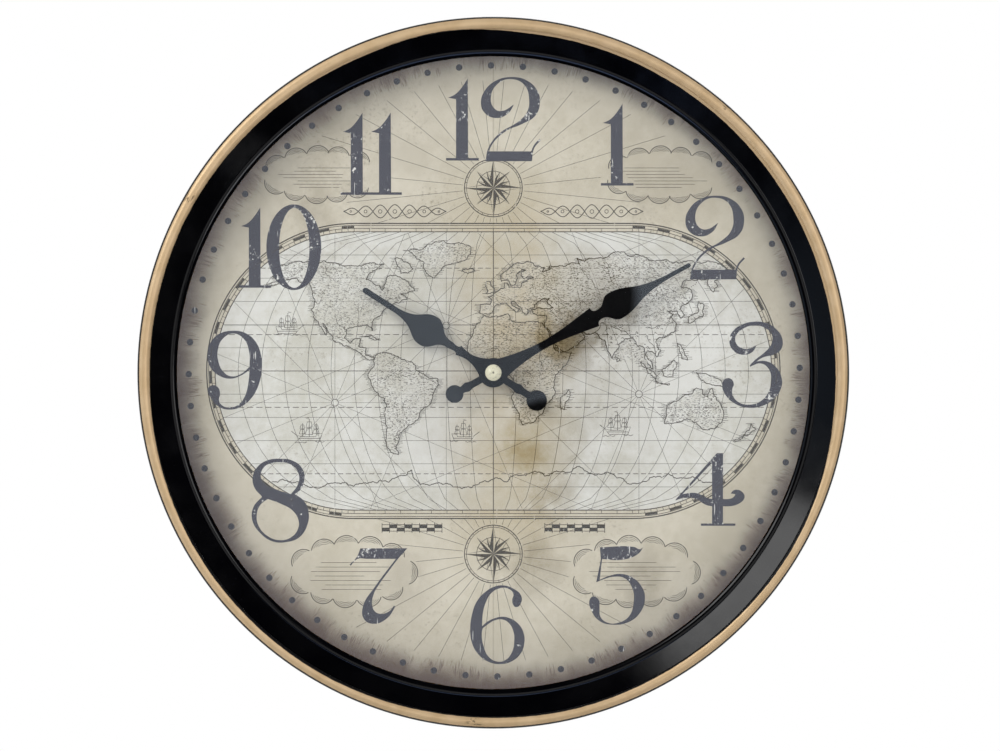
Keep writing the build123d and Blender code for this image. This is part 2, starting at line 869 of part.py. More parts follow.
def movement_frame():
    """Front shell of the movement, with the gear room, the battery bay, stud and posts."""
    shell = deep_prism(movement_outline(), 0.0, lid_seat)
    room = box(-room_half, room_half, partition_high, room_half)
    bay = box(-room_half, room_half, -room_half, partition_low)
    for space in (room, bay):
        shell -= deep_prism(space, movement_wall, lid_seat)
    shell -= deep_prism(disc(bush_diameter), 0.0, movement_wall)
    shell += deep_prism(disc(stud_diameter, reverser_place), movement_wall, clip_rear)
    for place in plate_posts:
        shell += deep_prism(disc(post_diameter, place), movement_wall, plate_front)
    for place in stator_posts:
        shell += deep_prism(disc(post_diameter, place), movement_wall, stator_front)
    for place in board_posts:
        shell += deep_prism(disc(board_post_diameter, place), movement_wall, board_depth)
    hole_front = movement_wall + play - pivot_length - pivot_hole_extra
    for place in (third_place, setting_place):
        hole = disc(pivot_diameter + 2 * pivot_clearance, place)
        shell -= deep_prism(hole, hole_front, movement_wall)
    return shell


def movement_lid():
    """Rear cover of the gear room, with blind bearings for the rear pivots."""
    above_bay = box(-movement_size / 2, movement_size / 2, partition_low, movement_size / 2)
    lid = deep_prism(movement_outline() & above_bay, lid_seat, movement_depth)
    rear_ends = (
        (centre, intermediate_front),
        (intermediate_place, rotor_end),
        (rotor_place, rotor_end),
    )
    for place, shoulder in rear_ends:
        lid += deep_prism(disc(lid_boss_diameter, place), shoulder + play, lid_seat)
        hole = disc(pivot_diameter + 2 * pivot_clearance, place)
        lid -= deep_prism(hole, shoulder + play, shoulder + pivot_length + pivot_hole_extra)
    shaft_hole = disc(setting_shaft_diameter + 2 * running_clearance, setting_place)
    return lid - deep_prism(shaft_hole, lid_seat, movement_depth)


def train_plate():
    """Middle plate that bears the front pivots of the intermediate wheel and the rotor."""
    outline = box(plate_left, plate_right, plate_low, plate_high)
    outline -= disc(arbor_diameter + 2 * layer_gap)
    outline -= disc(arbor_diameter + 2 * running_clearance, third_place)
    outline -= disc(setting_shaft_diameter + 2 * running_clearance, setting_place)
    for place in (intermediate_place, rotor_place):
        outline -= disc(pivot_diameter + 2 * pivot_clearance, place)
    return deep_prism(outline, plate_front, plate_rear)


def stator():
    """Soft iron plate with the rotor's hole and two legs up to the coil core."""
    hole = magnet_diameter + 2 * stator_gap
    outline = box(stator_left, stator_right, bar_low, bar_high)
    outline += disc(hole + 2 * stator_ring, rotor_place)
    outline += box(stator_left, stator_left + stator_leg, bar_low, core_high)
    outline += box(stator_right - stator_leg, stator_right, bar_low, core_high)
    outline -= disc(hole, rotor_place)
    return deep_prism(outline, stator_front, stator_rear)


def coil_core():
    """Iron bar through the coil."""
    return deep_prism(box(stator_left, stator_right, core_low, core_high), core_front, stator_front)


def around_core(start, end, height, depth_size):
    """Block round the core's middle between two places along it."""
    outline = box(start, end, coil_z - height / 2, coil_z + height / 2)
    return deep_prism(outline, core_middle - depth_size / 2, core_middle + depth_size / 2)


def coil_bobbin():
    """Plastic former on the core, with a flange at each end."""
    end = bobbin_length / 2
    tube_height = core_width + 2 * bobbin_wall
    tube_depth = core_thickness + 2 * bobbin_wall
    solid = around_core(-end, end, tube_height, tube_depth)
    solid += around_core(-end, -end + bobbin_flange, bobbin_flange_size, bobbin_flange_size)
    solid += around_core(end - bobbin_flange, end, bobbin_flange_size, bobbin_flange_size)
    return solid - around_core(-end, end, core_width, core_thickness)


def coil_winding():
    """Block of fine copper wire on the former."""
    end = bobbin_length / 2 - bobbin_flange
    tube_height = core_width + 2 * bobbin_wall
    tube_depth = core_thickness + 2 * bobbin_wall
    return around_core(-end, end, winding_size, winding_size) - around_core(-end, end, tube_height, tube_depth)


def circuit_board():
    """Small board on two posts."""
    return deep_prism(box(board_left, board_right, board_low, board_high), board_depth, board_rear)


def quartz_crystal():
    """Metal can that lies on the board."""
    radius = crystal_diameter / 2
    height = movement_front - board_depth + radius
    end = Plane(origin=(crystal_x, -height, crystal_low), z_dir=(0, 0, 1))
    return extrude(end * Circle(radius), crystal_length)


def chip_cover():
    """Drop of black resin over the chip."""
    return deep_prism(disc(chip_diameter, chip_place), board_depth - chip_height, board_depth)


def battery_end(x):
    """Plane square to the battery's axis at a distance along it."""
    return Plane(origin=(x, battery_depth - movement_front, battery_z), z_dir=(1, 0, 0))


def battery():
    """Single cell lying across the bottom of the movement."""
    half = battery_length / 2
    body = extrude(battery_end(-half) * Circle(battery_diameter / 2), battery_length - battery_nub_length)
    nub_start = half - battery_nub_length
    return body + extrude(battery_end(nub_start) * Circle(battery_nub_diameter / 2), battery_nub_length)


def battery_contact(side):
    """Bent spring strip between the bay's end wall and the battery, on the left or the right."""
    wall = room_half
    tip = battery_length / 2
    half = contact_height / 2
    flat = contact_flat / 2
    free_end = half - contact_free_end
    inner = wall - contact_strip
    strip = [
        (wall, -half),
        (wall, half),
        (inner, half),
        (inner, -half + contact_bend),
        (tip + contact_strip, -flat),
        (tip + contact_strip, flat),
        (tip + contact_lift + contact_strip, free_end),
        (tip + contact_lift, free_end),
        (tip, flat),
        (tip, -flat),
        (inner - contact_strip, -half),
    ]
    corners = [(side * x, battery_z + z) for x, z in strip]
    outline = make_face(Polyline(*corners, close=True))
    return deep_prism(outline, battery_depth - contact_width / 2, battery_depth + contact_width / 2)


def contact_plus():
    """Spring strip at the battery's nub."""
    return battery_contact(1)


def contact_minus():
    """Spring strip at the battery's flat end."""
    return battery_contact(-1)


PIECES = (
    gold_rim, bezel, rear_case, case_screws, glass_lens, spacer_ring, dial_plate, dial_sheet,
    hour_hand, hour_collet, minute_hand, hand_nut, centre_bush, hex_nut, brass_washer, rubber_washer,
    hour_wheel, minute_shaft, clutch_washer, reverser_wheel, stud_clip, setting_knob, centre_wheel,
    third_wheel, second_wheel, intermediate_wheel, rotor_pinion, rotor_magnet, movement_frame,
    movement_lid, train_plate, stator, coil_core, coil_bobbin, coil_winding, circuit_board,
    quartz_crystal, chip_cover, battery, contact_plus, contact_minus,
)

os.makedirs("parts", exist_ok=True)
for piece in PIECES:
    made = piece()
    solids = made if isinstance(made, list) else [made]
    shape = Compound([solid for item in solids for solid in item.solids()])
    export_step(shape, os.path.join("parts", piece.__name__ + ".step"))
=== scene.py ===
"""Round wall clock with a printed chart dial: finished pieces, finishes and stage around its solids."""

import json
import math
import random

import bpy
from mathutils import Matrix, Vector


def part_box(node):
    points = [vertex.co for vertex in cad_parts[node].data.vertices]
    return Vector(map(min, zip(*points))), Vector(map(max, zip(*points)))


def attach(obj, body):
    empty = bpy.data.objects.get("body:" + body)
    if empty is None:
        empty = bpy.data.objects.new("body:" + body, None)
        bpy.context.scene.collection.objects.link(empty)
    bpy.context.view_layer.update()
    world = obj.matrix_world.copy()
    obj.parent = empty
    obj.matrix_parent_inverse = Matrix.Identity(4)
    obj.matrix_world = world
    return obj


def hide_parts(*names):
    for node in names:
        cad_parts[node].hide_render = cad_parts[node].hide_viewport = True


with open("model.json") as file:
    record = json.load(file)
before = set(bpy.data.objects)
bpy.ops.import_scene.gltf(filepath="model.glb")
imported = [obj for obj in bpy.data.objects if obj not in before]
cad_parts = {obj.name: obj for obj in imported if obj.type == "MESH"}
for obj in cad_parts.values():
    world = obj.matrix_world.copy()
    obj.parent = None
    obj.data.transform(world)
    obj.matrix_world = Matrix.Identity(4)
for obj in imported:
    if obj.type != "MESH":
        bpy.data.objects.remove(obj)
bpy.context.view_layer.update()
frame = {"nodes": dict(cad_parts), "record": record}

bl_info = {
    "name": "Round Chart Clock",
    "version": (1, 0, 0),
    "blender": (4, 5, 0),
    "location": "View3D > Sidebar > Clock",
    "description": "Finishes a round wall clock with a printed chart dial",
    "category": "Object",
}

MM = 0.001
FULL_TURN = 2 * math.pi
MERGE_WITHIN = 0.001 * MM
FLAT_WITHIN = math.radians(0.5)
TURNED_SMOOTH = math.radians(18)
MOULDED_SMOOTH = math.radians(32)
MOULDED_CORNER = math.radians(40)
CASE_STEPS = 240
CROWN_STEPS = 22
LIP_STEPS = 14
DOME_STEPS = 16
CAP_STEPS = 72
CELL_STEPS = 64
PRINT_RIDGE = 0.12
PRINT_THICKNESS = 0.03
DULL_SPECULAR = 0.15
GOLD_METAL = 0.35
SLOTS = {part["node"]: part["material_slot"] for part in frame["record"]["subparts"]}
BODIES = {node: body for body, nodes in frame["record"]["behaviour"]["bodies"].items() for node in nodes}


def front_of(node):
    """Distance from the wall to a node's front, in millimetres."""
    return -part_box(node)[0].y / MM


def back_of(node):
    """Distance from the wall to a node's back, in millimetres."""
    return -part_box(node)[1].y / MM


def reach_of(node):
    """Radius of a round node on the hands' axis, in millimetres."""
    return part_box(node)[1].x / MM


def screen(red, green, blue):
    """Linear colour of a colour given in 8-bit screen values."""
    shares = [value / 255 for value in (red, green, blue)]
    return tuple(
        share / 12.92 if share <= 0.04045 else ((share + 0.055) / 1.055) ** 2.4 for share in shares
    )


def length(name, description, millimetres):
    """Length property whose default is given in millimetres."""
    return bpy.props.FloatProperty(
        name=name, description=description, default=millimetres * MM, min=0.0, precision=5,
        subtype="DISTANCE", unit="LENGTH",
    )


def tint(name, description, red, green, blue):
    """Colour property whose default is given in 8-bit screen values."""
    return bpy.props.FloatVectorProperty(
        name=name, description=description, default=screen(red, green, blue), size=3,
        min=0.0, max=1.0, subtype="COLOR",
    )


class ClockSizes(bpy.types.PropertyGroup):
    """Sizes of the finished pieces."""

    rim_width: length("Rim width", "Width of the gold ring from the front", 5.7)
    rim_step: length("Rim step", "Height of the gold ring's inner edge above the black shoulder", 1.0)
    rim_drop: length("Rim drop", "Depth of the crown's outer end below the black shoulder", 0.6)
    edge_round: length("Edge round", "Rounding of moulded edges", 0.35)
    lip_width: length("Lip width", "Width of the black lip over the glass", 3.5)
    lip_rise: length("Lip rise", "Height of the lip's crease above the glass", 1.6)
    pocket_wall: length("Pocket wall", "Thickness of the wall around the glass", 2.0)
    ring_wall: length("Ring wall", "Thickness of the black ring's outer wall", 3.0)
    ring_skin: length("Ring skin", "Thickness of the black slope", 2.2)
    cap_edge: length("Cap edge", "Height of the cap nut's straight edge", 0.9)
    cap_dimple: length("Cap dimple", "Radius of the dimple in the cap nut", 0.55)
    dot_ring: length("Dot ring", "Radius of the ring of minute dots", 142.7)
    dot_width: length("Dot width", "Diameter of a minute dot", 3.0)
    print_offset: length("Print offset", "Height of the print's centre above the hands' axis", 0.8)
    paint_edge: length("Paint edge", "Depth below the rim's crest where its gold paint ends", 0.75)
    paint_inner: length("Paint inner", "Radius where the gold paint starts", 159.35)
    paint_left: length("Paint left", "Distance that the paint's inner edge is off centre to the left", 0.63)
    paint_down: length("Paint down", "Distance that the paint's inner edge is off centre downwards", 1.13)
    chart_half_width: length("Chart half width", "Half the width of the oval chart", 130.0)
    chart_half_height: length("Chart half height", "Half the height of the oval chart", 65.0)
    rose_radius: length("Rose radius", "Radius of the compass roses", 13.5)
    print_reach: length("Print reach", "Radius that the chart's rays stay within", 136.0)


class ClockColours(bpy.types.PropertyGroup):
    """Colours of the finishes."""

    gold: tint("Gold", "Satin gold paint of the rim", 224, 195, 156)
    gold_deep: tint("Deep gold", "Darker grain of the gold paint", 211, 181, 140)
    scuff: tint("Scuff", "Dark scuffs on the gold paint", 62, 52, 42)
    slope_black: tint("Slope black", "Gloss black of the bezel", 2, 2, 4)
    shell_black: tint("Shell black", "Moulded black of the rear shell", 22, 22, 24)
    chart_pale: tint("Pale chart", "Palest parts of the paper within the chart", 226, 226, 221)
    chart_deep: tint("Deep chart", "Darker clouds of the paper within the chart", 201, 199, 187)
    paper_pale: tint("Pale paper", "Palest parts of the paper around the chart", 213, 206, 188)
    paper_deep: tint("Deep paper", "Darker clouds of the paper around the chart", 196, 188, 167)
    # Also the colour of the painted shade that the bezel's lip casts on the very edge of the paper.
    paper_burnt: tint("Burnt paper", "Scorched edge of the aged paper", 84, 54, 28)
    # Also the colour of the painted shade towards the edge of the paper.
    paper_stain: tint("Paper stain", "Brown stains of the aged paper", 120, 106, 76)
    paper_tan: tint("Paper tan", "Yellowed band down the middle of the paper", 186, 164, 112)
    chart_ink: tint("Chart ink", "Brown ink of the chart's lines", 62, 50, 24)
    numeral_ink: tint("Numeral ink", "Dark ink of the hour numerals", 58, 54, 62)
    dot_ink: tint("Dot ink", "Dark ink of the minute dots", 53, 45, 46)
    hand_black: tint("Hand black", "Black lacquer of the hands", 4, 4, 5)
    cap_cream: tint("Cap cream", "Pale lacquer of the cap nut", 226, 223, 196)
    jacket: tint("Jacket", "Main colour of the battery's jacket", 42, 66, 92)
    jacket_band: tint("Jacket band", "Band of the battery's jacket", 196, 198, 196)


def sizes():
    """Sizes in millimetres by name."""
    group = bpy.context.scene.clock_sizes
    return {key: getattr(group, key) / MM for key in ClockSizes.__annotations__}


def colours():
    """Colours as plain tuples by name."""
    group = bpy.context.scene.clock_colours
    return {key: tuple(getattr(group, key)) for key in ClockColours.__annotations__}


def deselect():
    """Leaves nothing selected, in object mode."""
    if bpy.context.object and bpy.context.object.mode != "OBJECT":
        bpy.ops.object.mode_set(mode="OBJECT")
    bpy.ops.object.select_all(action="DESELECT")


def settle(piece, body, material, nodes=()):
    """Gives a finished piece its material and body, and hides the nodes that it stands for."""
    piece.data.materials.clear()
    piece.data.materials.append(material)
    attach(piece, body)
    if nodes:
        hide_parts(*nodes)


def dress(material, *nodes):
    """Puts a finish on CAD nodes that are shown as they are."""
    for node in nodes:
        shown = frame["nodes"][node]
        shown.data.materials.clear()
        shown.data.materials.append(material)


def arc_through(start, middle, end, count):
    """Points along the arc through three points of a profile."""
    (ax, ay), (bx, by), (cx, cy) = start, middle, end
    double_area = 2 * (ax * (by - cy) + bx * (cy - ay) + cx * (ay - by))
    a_square = ax * ax + ay * ay
    b_square = bx * bx + by * by
    c_square = cx * cx + cy * cy
    x = (a_square * (by - cy) + b_square * (cy - ay) + c_square * (ay - by)) / double_area
    y = (a_square * (cx - bx) + b_square * (ax - cx) + c_square * (bx - ax)) / double_area
    radius = math.hypot(ax - x, ay - y)
    first = math.atan2(ay - y, ax - x)
    sweep = (math.atan2(cy - y, cx - x) - first) % FULL_TURN
    if (math.atan2(by - y, bx - x) - first) % FULL_TURN > sweep:
        sweep -= FULL_TURN
    angles = [first + sweep * index / count for index in range(count + 1)]
    return [(x + radius * math.cos(angle), y + radius * math.sin(angle)) for angle in angles]


def turned(name, outline, steps):
    """Solid of revolution about the hands' axis from radius and height pairs in millimetres."""
    deselect()
    first = outline[0]
    bpy.ops.mesh.primitive_plane_add(size=MM, location=(first[0] * MM, -first[1] * MM, 0))
    piece = bpy.context.object
    piece.name = name
    bpy.ops.object.mode_set(mode="EDIT")
    bpy.ops.mesh.select_all(action="SELECT")
    bpy.ops.mesh.merge(type="CENTER")
    last = first
    for point in outline[1:] + [first]:
        stride = ((point[0] - last[0]) * MM, -(point[1] - last[1]) * MM, 0)
        bpy.ops.mesh.extrude_region_move(TRANSFORM_OT_translate={"value": stride})
        last = point
    bpy.ops.mesh.select_all(action="SELECT")
    bpy.ops.mesh.remove_doubles(threshold=MERGE_WITHIN)
    bpy.ops.mesh.spin(steps=steps, angle=FULL_TURN, center=(0, 0, 0), axis=(0, 1, 0))
    bpy.ops.mesh.select_all(action="SELECT")
    bpy.ops.mesh.remove_doubles(threshold=MERGE_WITHIN)
    bpy.ops.mesh.normals_make_consistent(inside=False)
    bpy.ops.object.mode_set(mode="OBJECT")
    bpy.ops.object.transform_apply(location=True, rotation=True, scale=True)
    bpy.ops.object.shade_smooth_by_angle(angle=TURNED_SMOOTH)
    return piece


def softened(node, rounding):
    """Copy of a CAD node with its corners merged and its sharp edges rounded."""
    deselect()
    mesh = frame["nodes"][node].data.copy()
    piece = bpy.data.objects.new(node + "_moulded", mesh)
    bpy.context.collection.objects.link(piece)
    piece.select_set(True)
    bpy.context.view_layer.objects.active = piece
    bpy.ops.object.mode_set(mode="EDIT")
    bpy.ops.mesh.select_all(action="SELECT")
    bpy.ops.mesh.customdata_custom_splitnormals_clear()
    bpy.ops.mesh.remove_doubles(threshold=MERGE_WITHIN)
    bpy.ops.mesh.dissolve_limited(angle_limit=FLAT_WITHIN)
    bpy.ops.object.mode_set(mode="OBJECT")
    bpy.ops.object.modifier_add(type="BEVEL")
    bevel = piece.modifiers[-1]
    bevel.width = rounding * MM
    bevel.segments = 2
    bevel.limit_method = "ANGLE"
    bevel.angle_limit = MOULDED_CORNER
    bpy.ops.object.modifier_apply(modifier=bevel.name)
    bpy.ops.object.shade_smooth_by_angle(angle=MOULDED_SMOOTH)
    bpy.ops.object.modifier_add(type="WEIGHTED_NORMAL")
    flat = piece.modifiers[-1]
    flat.keep_sharp = True
    flat.weight = 100
    bpy.ops.object.modifier_apply(modifier=flat.name)
    return piece


def laid_on_dial(piece, lift, thinness=1.0):
    """Turns a flat drawing upright, sets it on the front of the dial sheet and applies its place."""
    piece.scale = (1, 1, thinness)
    piece.rotation_euler = (math.pi / 2, 0, 0)
    piece.location = (0, -(front_of("dial_sheet") + lift) * MM, 0)
    bpy.ops.object.transform_apply(location=True, rotation=True, scale=True)


def drawn(name, strokes):
    """Printed lines from width and point pairs in millimetres, each a very low ridge on the paper."""
    deselect()
    bpy.ops.curve.primitive_nurbs_path_add()
    piece = bpy.context.object
    piece.name = name
    curve = piece.data
    curve.splines.clear()
    curve.dimensions = "3D"
    curve.fill_mode = "FULL"
    curve.twist_mode = "Z_UP"
    curve.bevel_depth = MM / 2
    curve.bevel_resolution = 0
    curve.use_fill_caps = True
    for width, points in strokes:
        spline = curve.splines.new("POLY")
        spline.points.add(len(points) - 1)
        for knot, (x, z) in zip(spline.points, points):
            knot.co = (x * MM, z * MM, 0, 1)
            knot.radius = width
    bpy.ops.object.convert(target="MESH")
    laid_on_dial(bpy.context.object, 0.0, PRINT_RIDGE)
    return bpy.context.object


def stamped(name, outlines, lift, thickness=PRINT_THICKNESS):
    """Printed flat shapes from closed outlines; a third value in a point makes it a corner."""
    deselect()
    bpy.ops.curve.primitive_bezier_curve_add()
    piece = bpy.context.object
    piece.name = name
    curve = piece.data
    curve.splines.clear()
    curve.dimensions = "2D"
    curve.fill_mode = "BOTH"
    curve.resolution_u = 5
    curve.extrude = thickness * MM / 2
    for outline in outlines:
        spline = curve.splines.new("BEZIER")
        spline.bezier_points.add(len(outline) - 1)
        for knot, point in zip(spline.bezier_points, outline):
            knot.co = (point[0] * MM, point[1] * MM, 0)
            knot.handle_left_type = "VECTOR" if len(point) > 2 else "AUTO"
            knot.handle_right_type = knot.handle_left_type
        spline.use_cyclic_u = True
    bpy.ops.object.convert(target="MESH")
    laid_on_dial(bpy.context.object, lift)
    return bpy.context.object


def joined(pieces, name):
    """One piece from several."""
    deselect()
    for piece in pieces:
        piece.select_set(True)
    bpy.context.view_layer.objects.active = pieces[0]
    bpy.ops.object.join()
    whole = bpy.context.object
    whole.name = name
    return whole


def plug(tree, socket, value):
    """Links or sets one input socket."""
    if isinstance(value, bpy.types.NodeSocket):
        tree.links.new(value, socket)
    elif socket.type == "RGBA" and len(value) == 3:
        socket.default_value = (*value, 1.0)
    else:
        socket.default_value = value


def node_in(tree, kind, inputs, **settings):
    """New node with its settings and inputs."""
    node = tree.nodes.new(kind)
    for setting, value in settings.items():
        setattr(node, setting, value)
    for key, value in inputs.items():
        plug(tree, node.inputs[key], value)
    return node


def calc(tree, operation, first, second=0.0, clamp=False):
    """Result of one arithmetic step."""
    node = node_in(tree, "ShaderNodeMath", {0: first, 1: second}, operation=operation, use_clamp=clamp)
    return node.outputs[0]


def times(tree, first, second):
    """Product of two values."""
    return calc(tree, "MULTIPLY", first, second)


def plus(tree, first, second):
    """Sum of two values."""
    return calc(tree, "ADD", first, second)


def larger(tree, first, second):
    """The larger of two values."""
    return calc(tree, "MAXIMUM", first, second)


def span(tree, value, low, high):
    """Smooth mask that rises from 0 at low to 1 at high."""
    inputs = {"Value": value, "From Min": low, "From Max": high}
    return node_in(tree, "ShaderNodeMapRange", inputs, interpolation_type="SMOOTHSTEP").outputs["Result"]


def between(tree, value, low, high):
    """Value from 0 to 1 taken to a range."""
    inputs = {"Value": value, "To Min": low, "To Max": high}
    return node_in(tree, "ShaderNodeMapRange", inputs).outputs["Result"]


def cloud(tree, place, scale, detail=4.0, roughness=0.55):
    """Noise value at a place."""
    inputs = {"Vector": place, "Scale": scale, "Detail": detail, "Roughness": roughness}
    return node_in(tree, "ShaderNodeTexNoise", inputs).outputs["Fac"]


def blend(tree, share, first, second):
    """Colour between two colours."""
    node = node_in(tree, "ShaderNodeMix", {0: share, 6: first, 7: second}, data_type="RGBA")
    return node.outputs[2]


def parts_of(tree, place):
    """The three coordinates of a place."""
    return node_in(tree, "ShaderNodeSeparateXYZ", {0: place}).outputs


def moved(tree, operation, place, by):
    """Place after one vector step."""
    return node_in(tree, "ShaderNodeVectorMath", {0: place, 1: by}, operation=operation).outputs[0]


def distance_to(tree, place, point):
    """Distance from a place to a point given in millimetres."""
    inputs = {0: place, 1: tuple(value * MM for value in point)}
    return node_in(tree, "ShaderNodeVectorMath", inputs, operation="DISTANCE").outputs["Value"]


def near(tree, place, point, radius):
    """Soft round mask about a point given in millimetres."""
    return span(tree, distance_to(tree, place, point), radius * MM, 0.0)


def new_group(name, inputs, outputs):
    """Empty shader group with named sockets."""
    group = bpy.data.node_groups.new(name, "ShaderNodeTree")
    for label, kind in inputs:
        group.interface.new_socket(label, in_out="INPUT", socket_type=kind)
    for label, kind in outputs:
        group.interface.new_socket(label, in_out="OUTPUT", socket_type=kind)
    return group, group.nodes.new("NodeGroupInput").outputs, group.nodes.new("NodeGroupOutput").inputs


def grain_group():
    """Fine moulded or sprayed grain with slow drift in it."""
    name = "fine grain"
    if name in bpy.data.node_groups:
        return bpy.data.node_groups[name]
    group, given, result = new_group(
        name, [("Place", "NodeSocketVector"), ("Size", "NodeSocketFloat")],
        [("Grain", "NodeSocketFloat"), ("Drift", "NodeSocketFloat")],
    )
    fine = cloud(group, given["Place"], given["Size"], 3.0, 0.6)
    slow_size = times(group, given["Size"], 0.06)
    slow = cloud(group, given["Place"], slow_size, 4.0, 0.55)
    group.links.new(fine, result["Grain"])
    group.links.new(slow, result["Drift"])
    return group


def speck_group():
    """Scattered round specks, such as dust or flecks."""
    name = "specks"
    if name in bpy.data.node_groups:
        return bpy.data.node_groups[name]
    group, given, result = new_group(
        name,
        [("Place", "NodeSocketVector"), ("Cells", "NodeSocketFloat"), ("Width", "NodeSocketFloat")],
        [("Specks", "NodeSocketFloat")],
    )
    inputs = {"Vector": given["Place"], "Scale": given["Cells"], "Randomness": 1.0}
    cells = node_in(group, "ShaderNodeTexVoronoi", inputs)
    shade = node_in(group, "ShaderNodeSeparateColor", {"Color": cells.outputs["Color"]}).outputs["Red"]
    chosen = calc(group, "GREATER_THAN", shade, 0.55)
    dot = calc(group, "LESS_THAN", cells.outputs["Distance"], given["Width"])
    group.links.new(times(group, dot, chosen), result["Specks"])
    return group


def polar_group():
    """Radius about the hands' axis and a place for noise that runs in streaks along the radius."""
    name = "round place"
    if name in bpy.data.node_groups:
        return bpy.data.node_groups[name]
    group, given, result = new_group(
        name,
        [("Place", "NodeSocketVector"), ("Around", "NodeSocketFloat"), ("Along", "NodeSocketFloat")],
        [("Radius", "NodeSocketFloat"), ("Streaks", "NodeSocketVector")],
    )
    flat = moved(group, "MULTIPLY", given["Place"], (1, 0, 1))
    radius = node_in(group, "ShaderNodeVectorMath", {0: flat}, operation="LENGTH").outputs["Value"]
    unit = node_in(group, "ShaderNodeVectorMath", {0: flat}, operation="NORMALIZE").outputs[0]
    parts = parts_of(group, unit)
    streaks = node_in(group, "ShaderNodeCombineXYZ", {
        0: times(group, parts[0], given["Around"]),
        1: times(group, parts[2], given["Around"]),
        2: times(group, radius, given["Along"]),
    }).outputs[0]
    group.links.new(radius, result["Radius"])
    group.links.new(streaks, result["Streaks"])
    return group


def use_group(tree, group, inputs):
    """Places a group in a material and returns its outputs."""
    node = tree.nodes.new("ShaderNodeGroup")
    node.node_tree = group
    for key, value in inputs.items():
        plug(tree, node.inputs[key], value)
    return node.outputs


def new_finish(name):
    """Empty material with its tree, shader and Object coordinates."""
    material = bpy.data.materials.new(name + "_finish")
    material.use_nodes = True
    tree = material.node_tree
    place = tree.nodes.new("ShaderNodeTexCoord").outputs["Object"]
    return material, tree, tree.nodes["Principled BSDF"], place


def grain_marks(tree, place, size):
    """Grain and drift of the fine grain group."""
    return use_group(tree, grain_group(), {"Place": place, "Size": size})


def specks(tree, place, cells, width):
    """Mask of scattered specks."""
    return use_group(tree, speck_group(), {"Place": place, "Cells": cells, "Width": width})["Specks"]


def polar(tree, place, around=1.0, along=1.0):
    """Radius about the hands' axis and the place for streaks."""
    return use_group(tree, polar_group(), {"Place": place, "Around": around, "Along": along})


def coat(tree, shader, colour, roughness, height, depth, metallic=0.0, specular=0.5):
    """Gives a shader its colour, gloss and a small relief, whose depth is in millimetres."""
    relief = node_in(tree, "ShaderNodeBump", {"Height": height, "Distance": depth * MM, "Strength": 1.0})
    inputs = {
        "Base Color": colour,
        "Roughness": roughness,
        "Normal": relief.outputs["Normal"],
        "Metallic": metallic,
        "Specular IOR Level": specular,
    }
    for key, value in inputs.items():
        plug(tree, shader.inputs[key], value)


def plain_finish(name, dark, pale, roughness, grain, relief, metallic=0.0, specular=0.5):
    """Moulded, painted or metal finish with grain in its colour, gloss and relief."""
    if name + "_finish" in bpy.data.materials:
        return bpy.data.materials[name + "_finish"]
    material, tree, shader, place = new_finish(name)
    marks = grain_marks(tree, place, grain)
    share = plus(tree, times(tree, marks["Grain"], 0.5), times(tree, marks["Drift"], 0.5))
    mixed = blend(tree, span(tree, share, 0.35, 0.65), dark, pale)
    rough = between(tree, marks["Drift"], *roughness)
    coat(tree, shader, mixed, rough, marks["Grain"], relief, metallic, specular)
    return material


# Plain finishes: dark and pale colour, range of roughness, grain per metre, relief in millimetres,
# and then the shares of metal and gloss where they aren't the usual ones.
STOCK_FINISHES = {
    "zinc_steel": ((0.36, 0.36, 0.35), (0.56, 0.56, 0.54), (0.25, 0.42), 1200.0, 0.006, 0.95),
    "brass": ((0.46, 0.31, 0.1), (0.68, 0.49, 0.19), (0.22, 0.38), 1400.0, 0.005, 0.95),
    "white_nylon": ((0.6, 0.59, 0.54), (0.75, 0.74, 0.69), (0.4, 0.55), 1300.0, 0.01),
    "black_knob": ((0.012, 0.012, 0.013), (0.03, 0.03, 0.032), (0.36, 0.5), 1100.0, 0.02),
    "black_rubber": ((0.01, 0.01, 0.01), (0.024, 0.024, 0.024), (0.7, 0.85), 1500.0, 0.03),
    "magnet_grey": ((0.05, 0.05, 0.055), (0.1, 0.1, 0.105), (0.4, 0.55), 1500.0, 0.01, 0.6),
    "soft_iron": ((0.22, 0.22, 0.22), (0.36, 0.36, 0.35), (0.35, 0.5), 1000.0, 0.01, 0.9),
    "board_green": ((0.012, 0.07, 0.03), (0.025, 0.13, 0.055), (0.35, 0.5), 800.0, 0.01),
    "chip_resin": ((0.008, 0.008, 0.009), (0.02, 0.02, 0.022), (0.25, 0.4), 900.0, 0.02),
    "hardboard": ((0.1, 0.06, 0.035), (0.2, 0.13, 0.08), (0.6, 0.8), 500.0, 0.04),
    "floor_pale": ((0.74, 0.74, 0.735), (0.8, 0.8, 0.795), (0.6, 0.75), 40.0, 0.05),
    "flag_cloth": ((0.004, 0.004, 0.005), (0.008, 0.008, 0.01), (0.9, 1.0), 60.0, 0.1, 0.0, 0.0),
}


def stock_finish(name):
    """One of the plain finishes."""
    return plain_finish(name, *STOCK_FINISHES[name])


def shell_black():
    """Grained black of the moulded shell."""
    dark = colours()["shell_black"]
    pale = tuple(1.6 * value + 0.003 for value in dark)
    return plain_finish("matte_black", dark, pale, (0.5, 0.66), 1500.0, 0.05)


# Where the gold spray reached less far in, or further: x, z, radius of the spot, and millimetres missed.
SPRAY_MISSED = ((139, -77, 80, 1.3), (-24, 157, 46, 1.5), (-159, 0, 90, -0.7), (-20, -158, 70, -0.7))
# Scuffs of the gold paint: place and radius.
SCUFFS = (((-9.0, -46.5, -163.2), 6.0), ((-140.5, -47, 81.0), 4.0), ((108.0, -46, 122.5), 3.0))


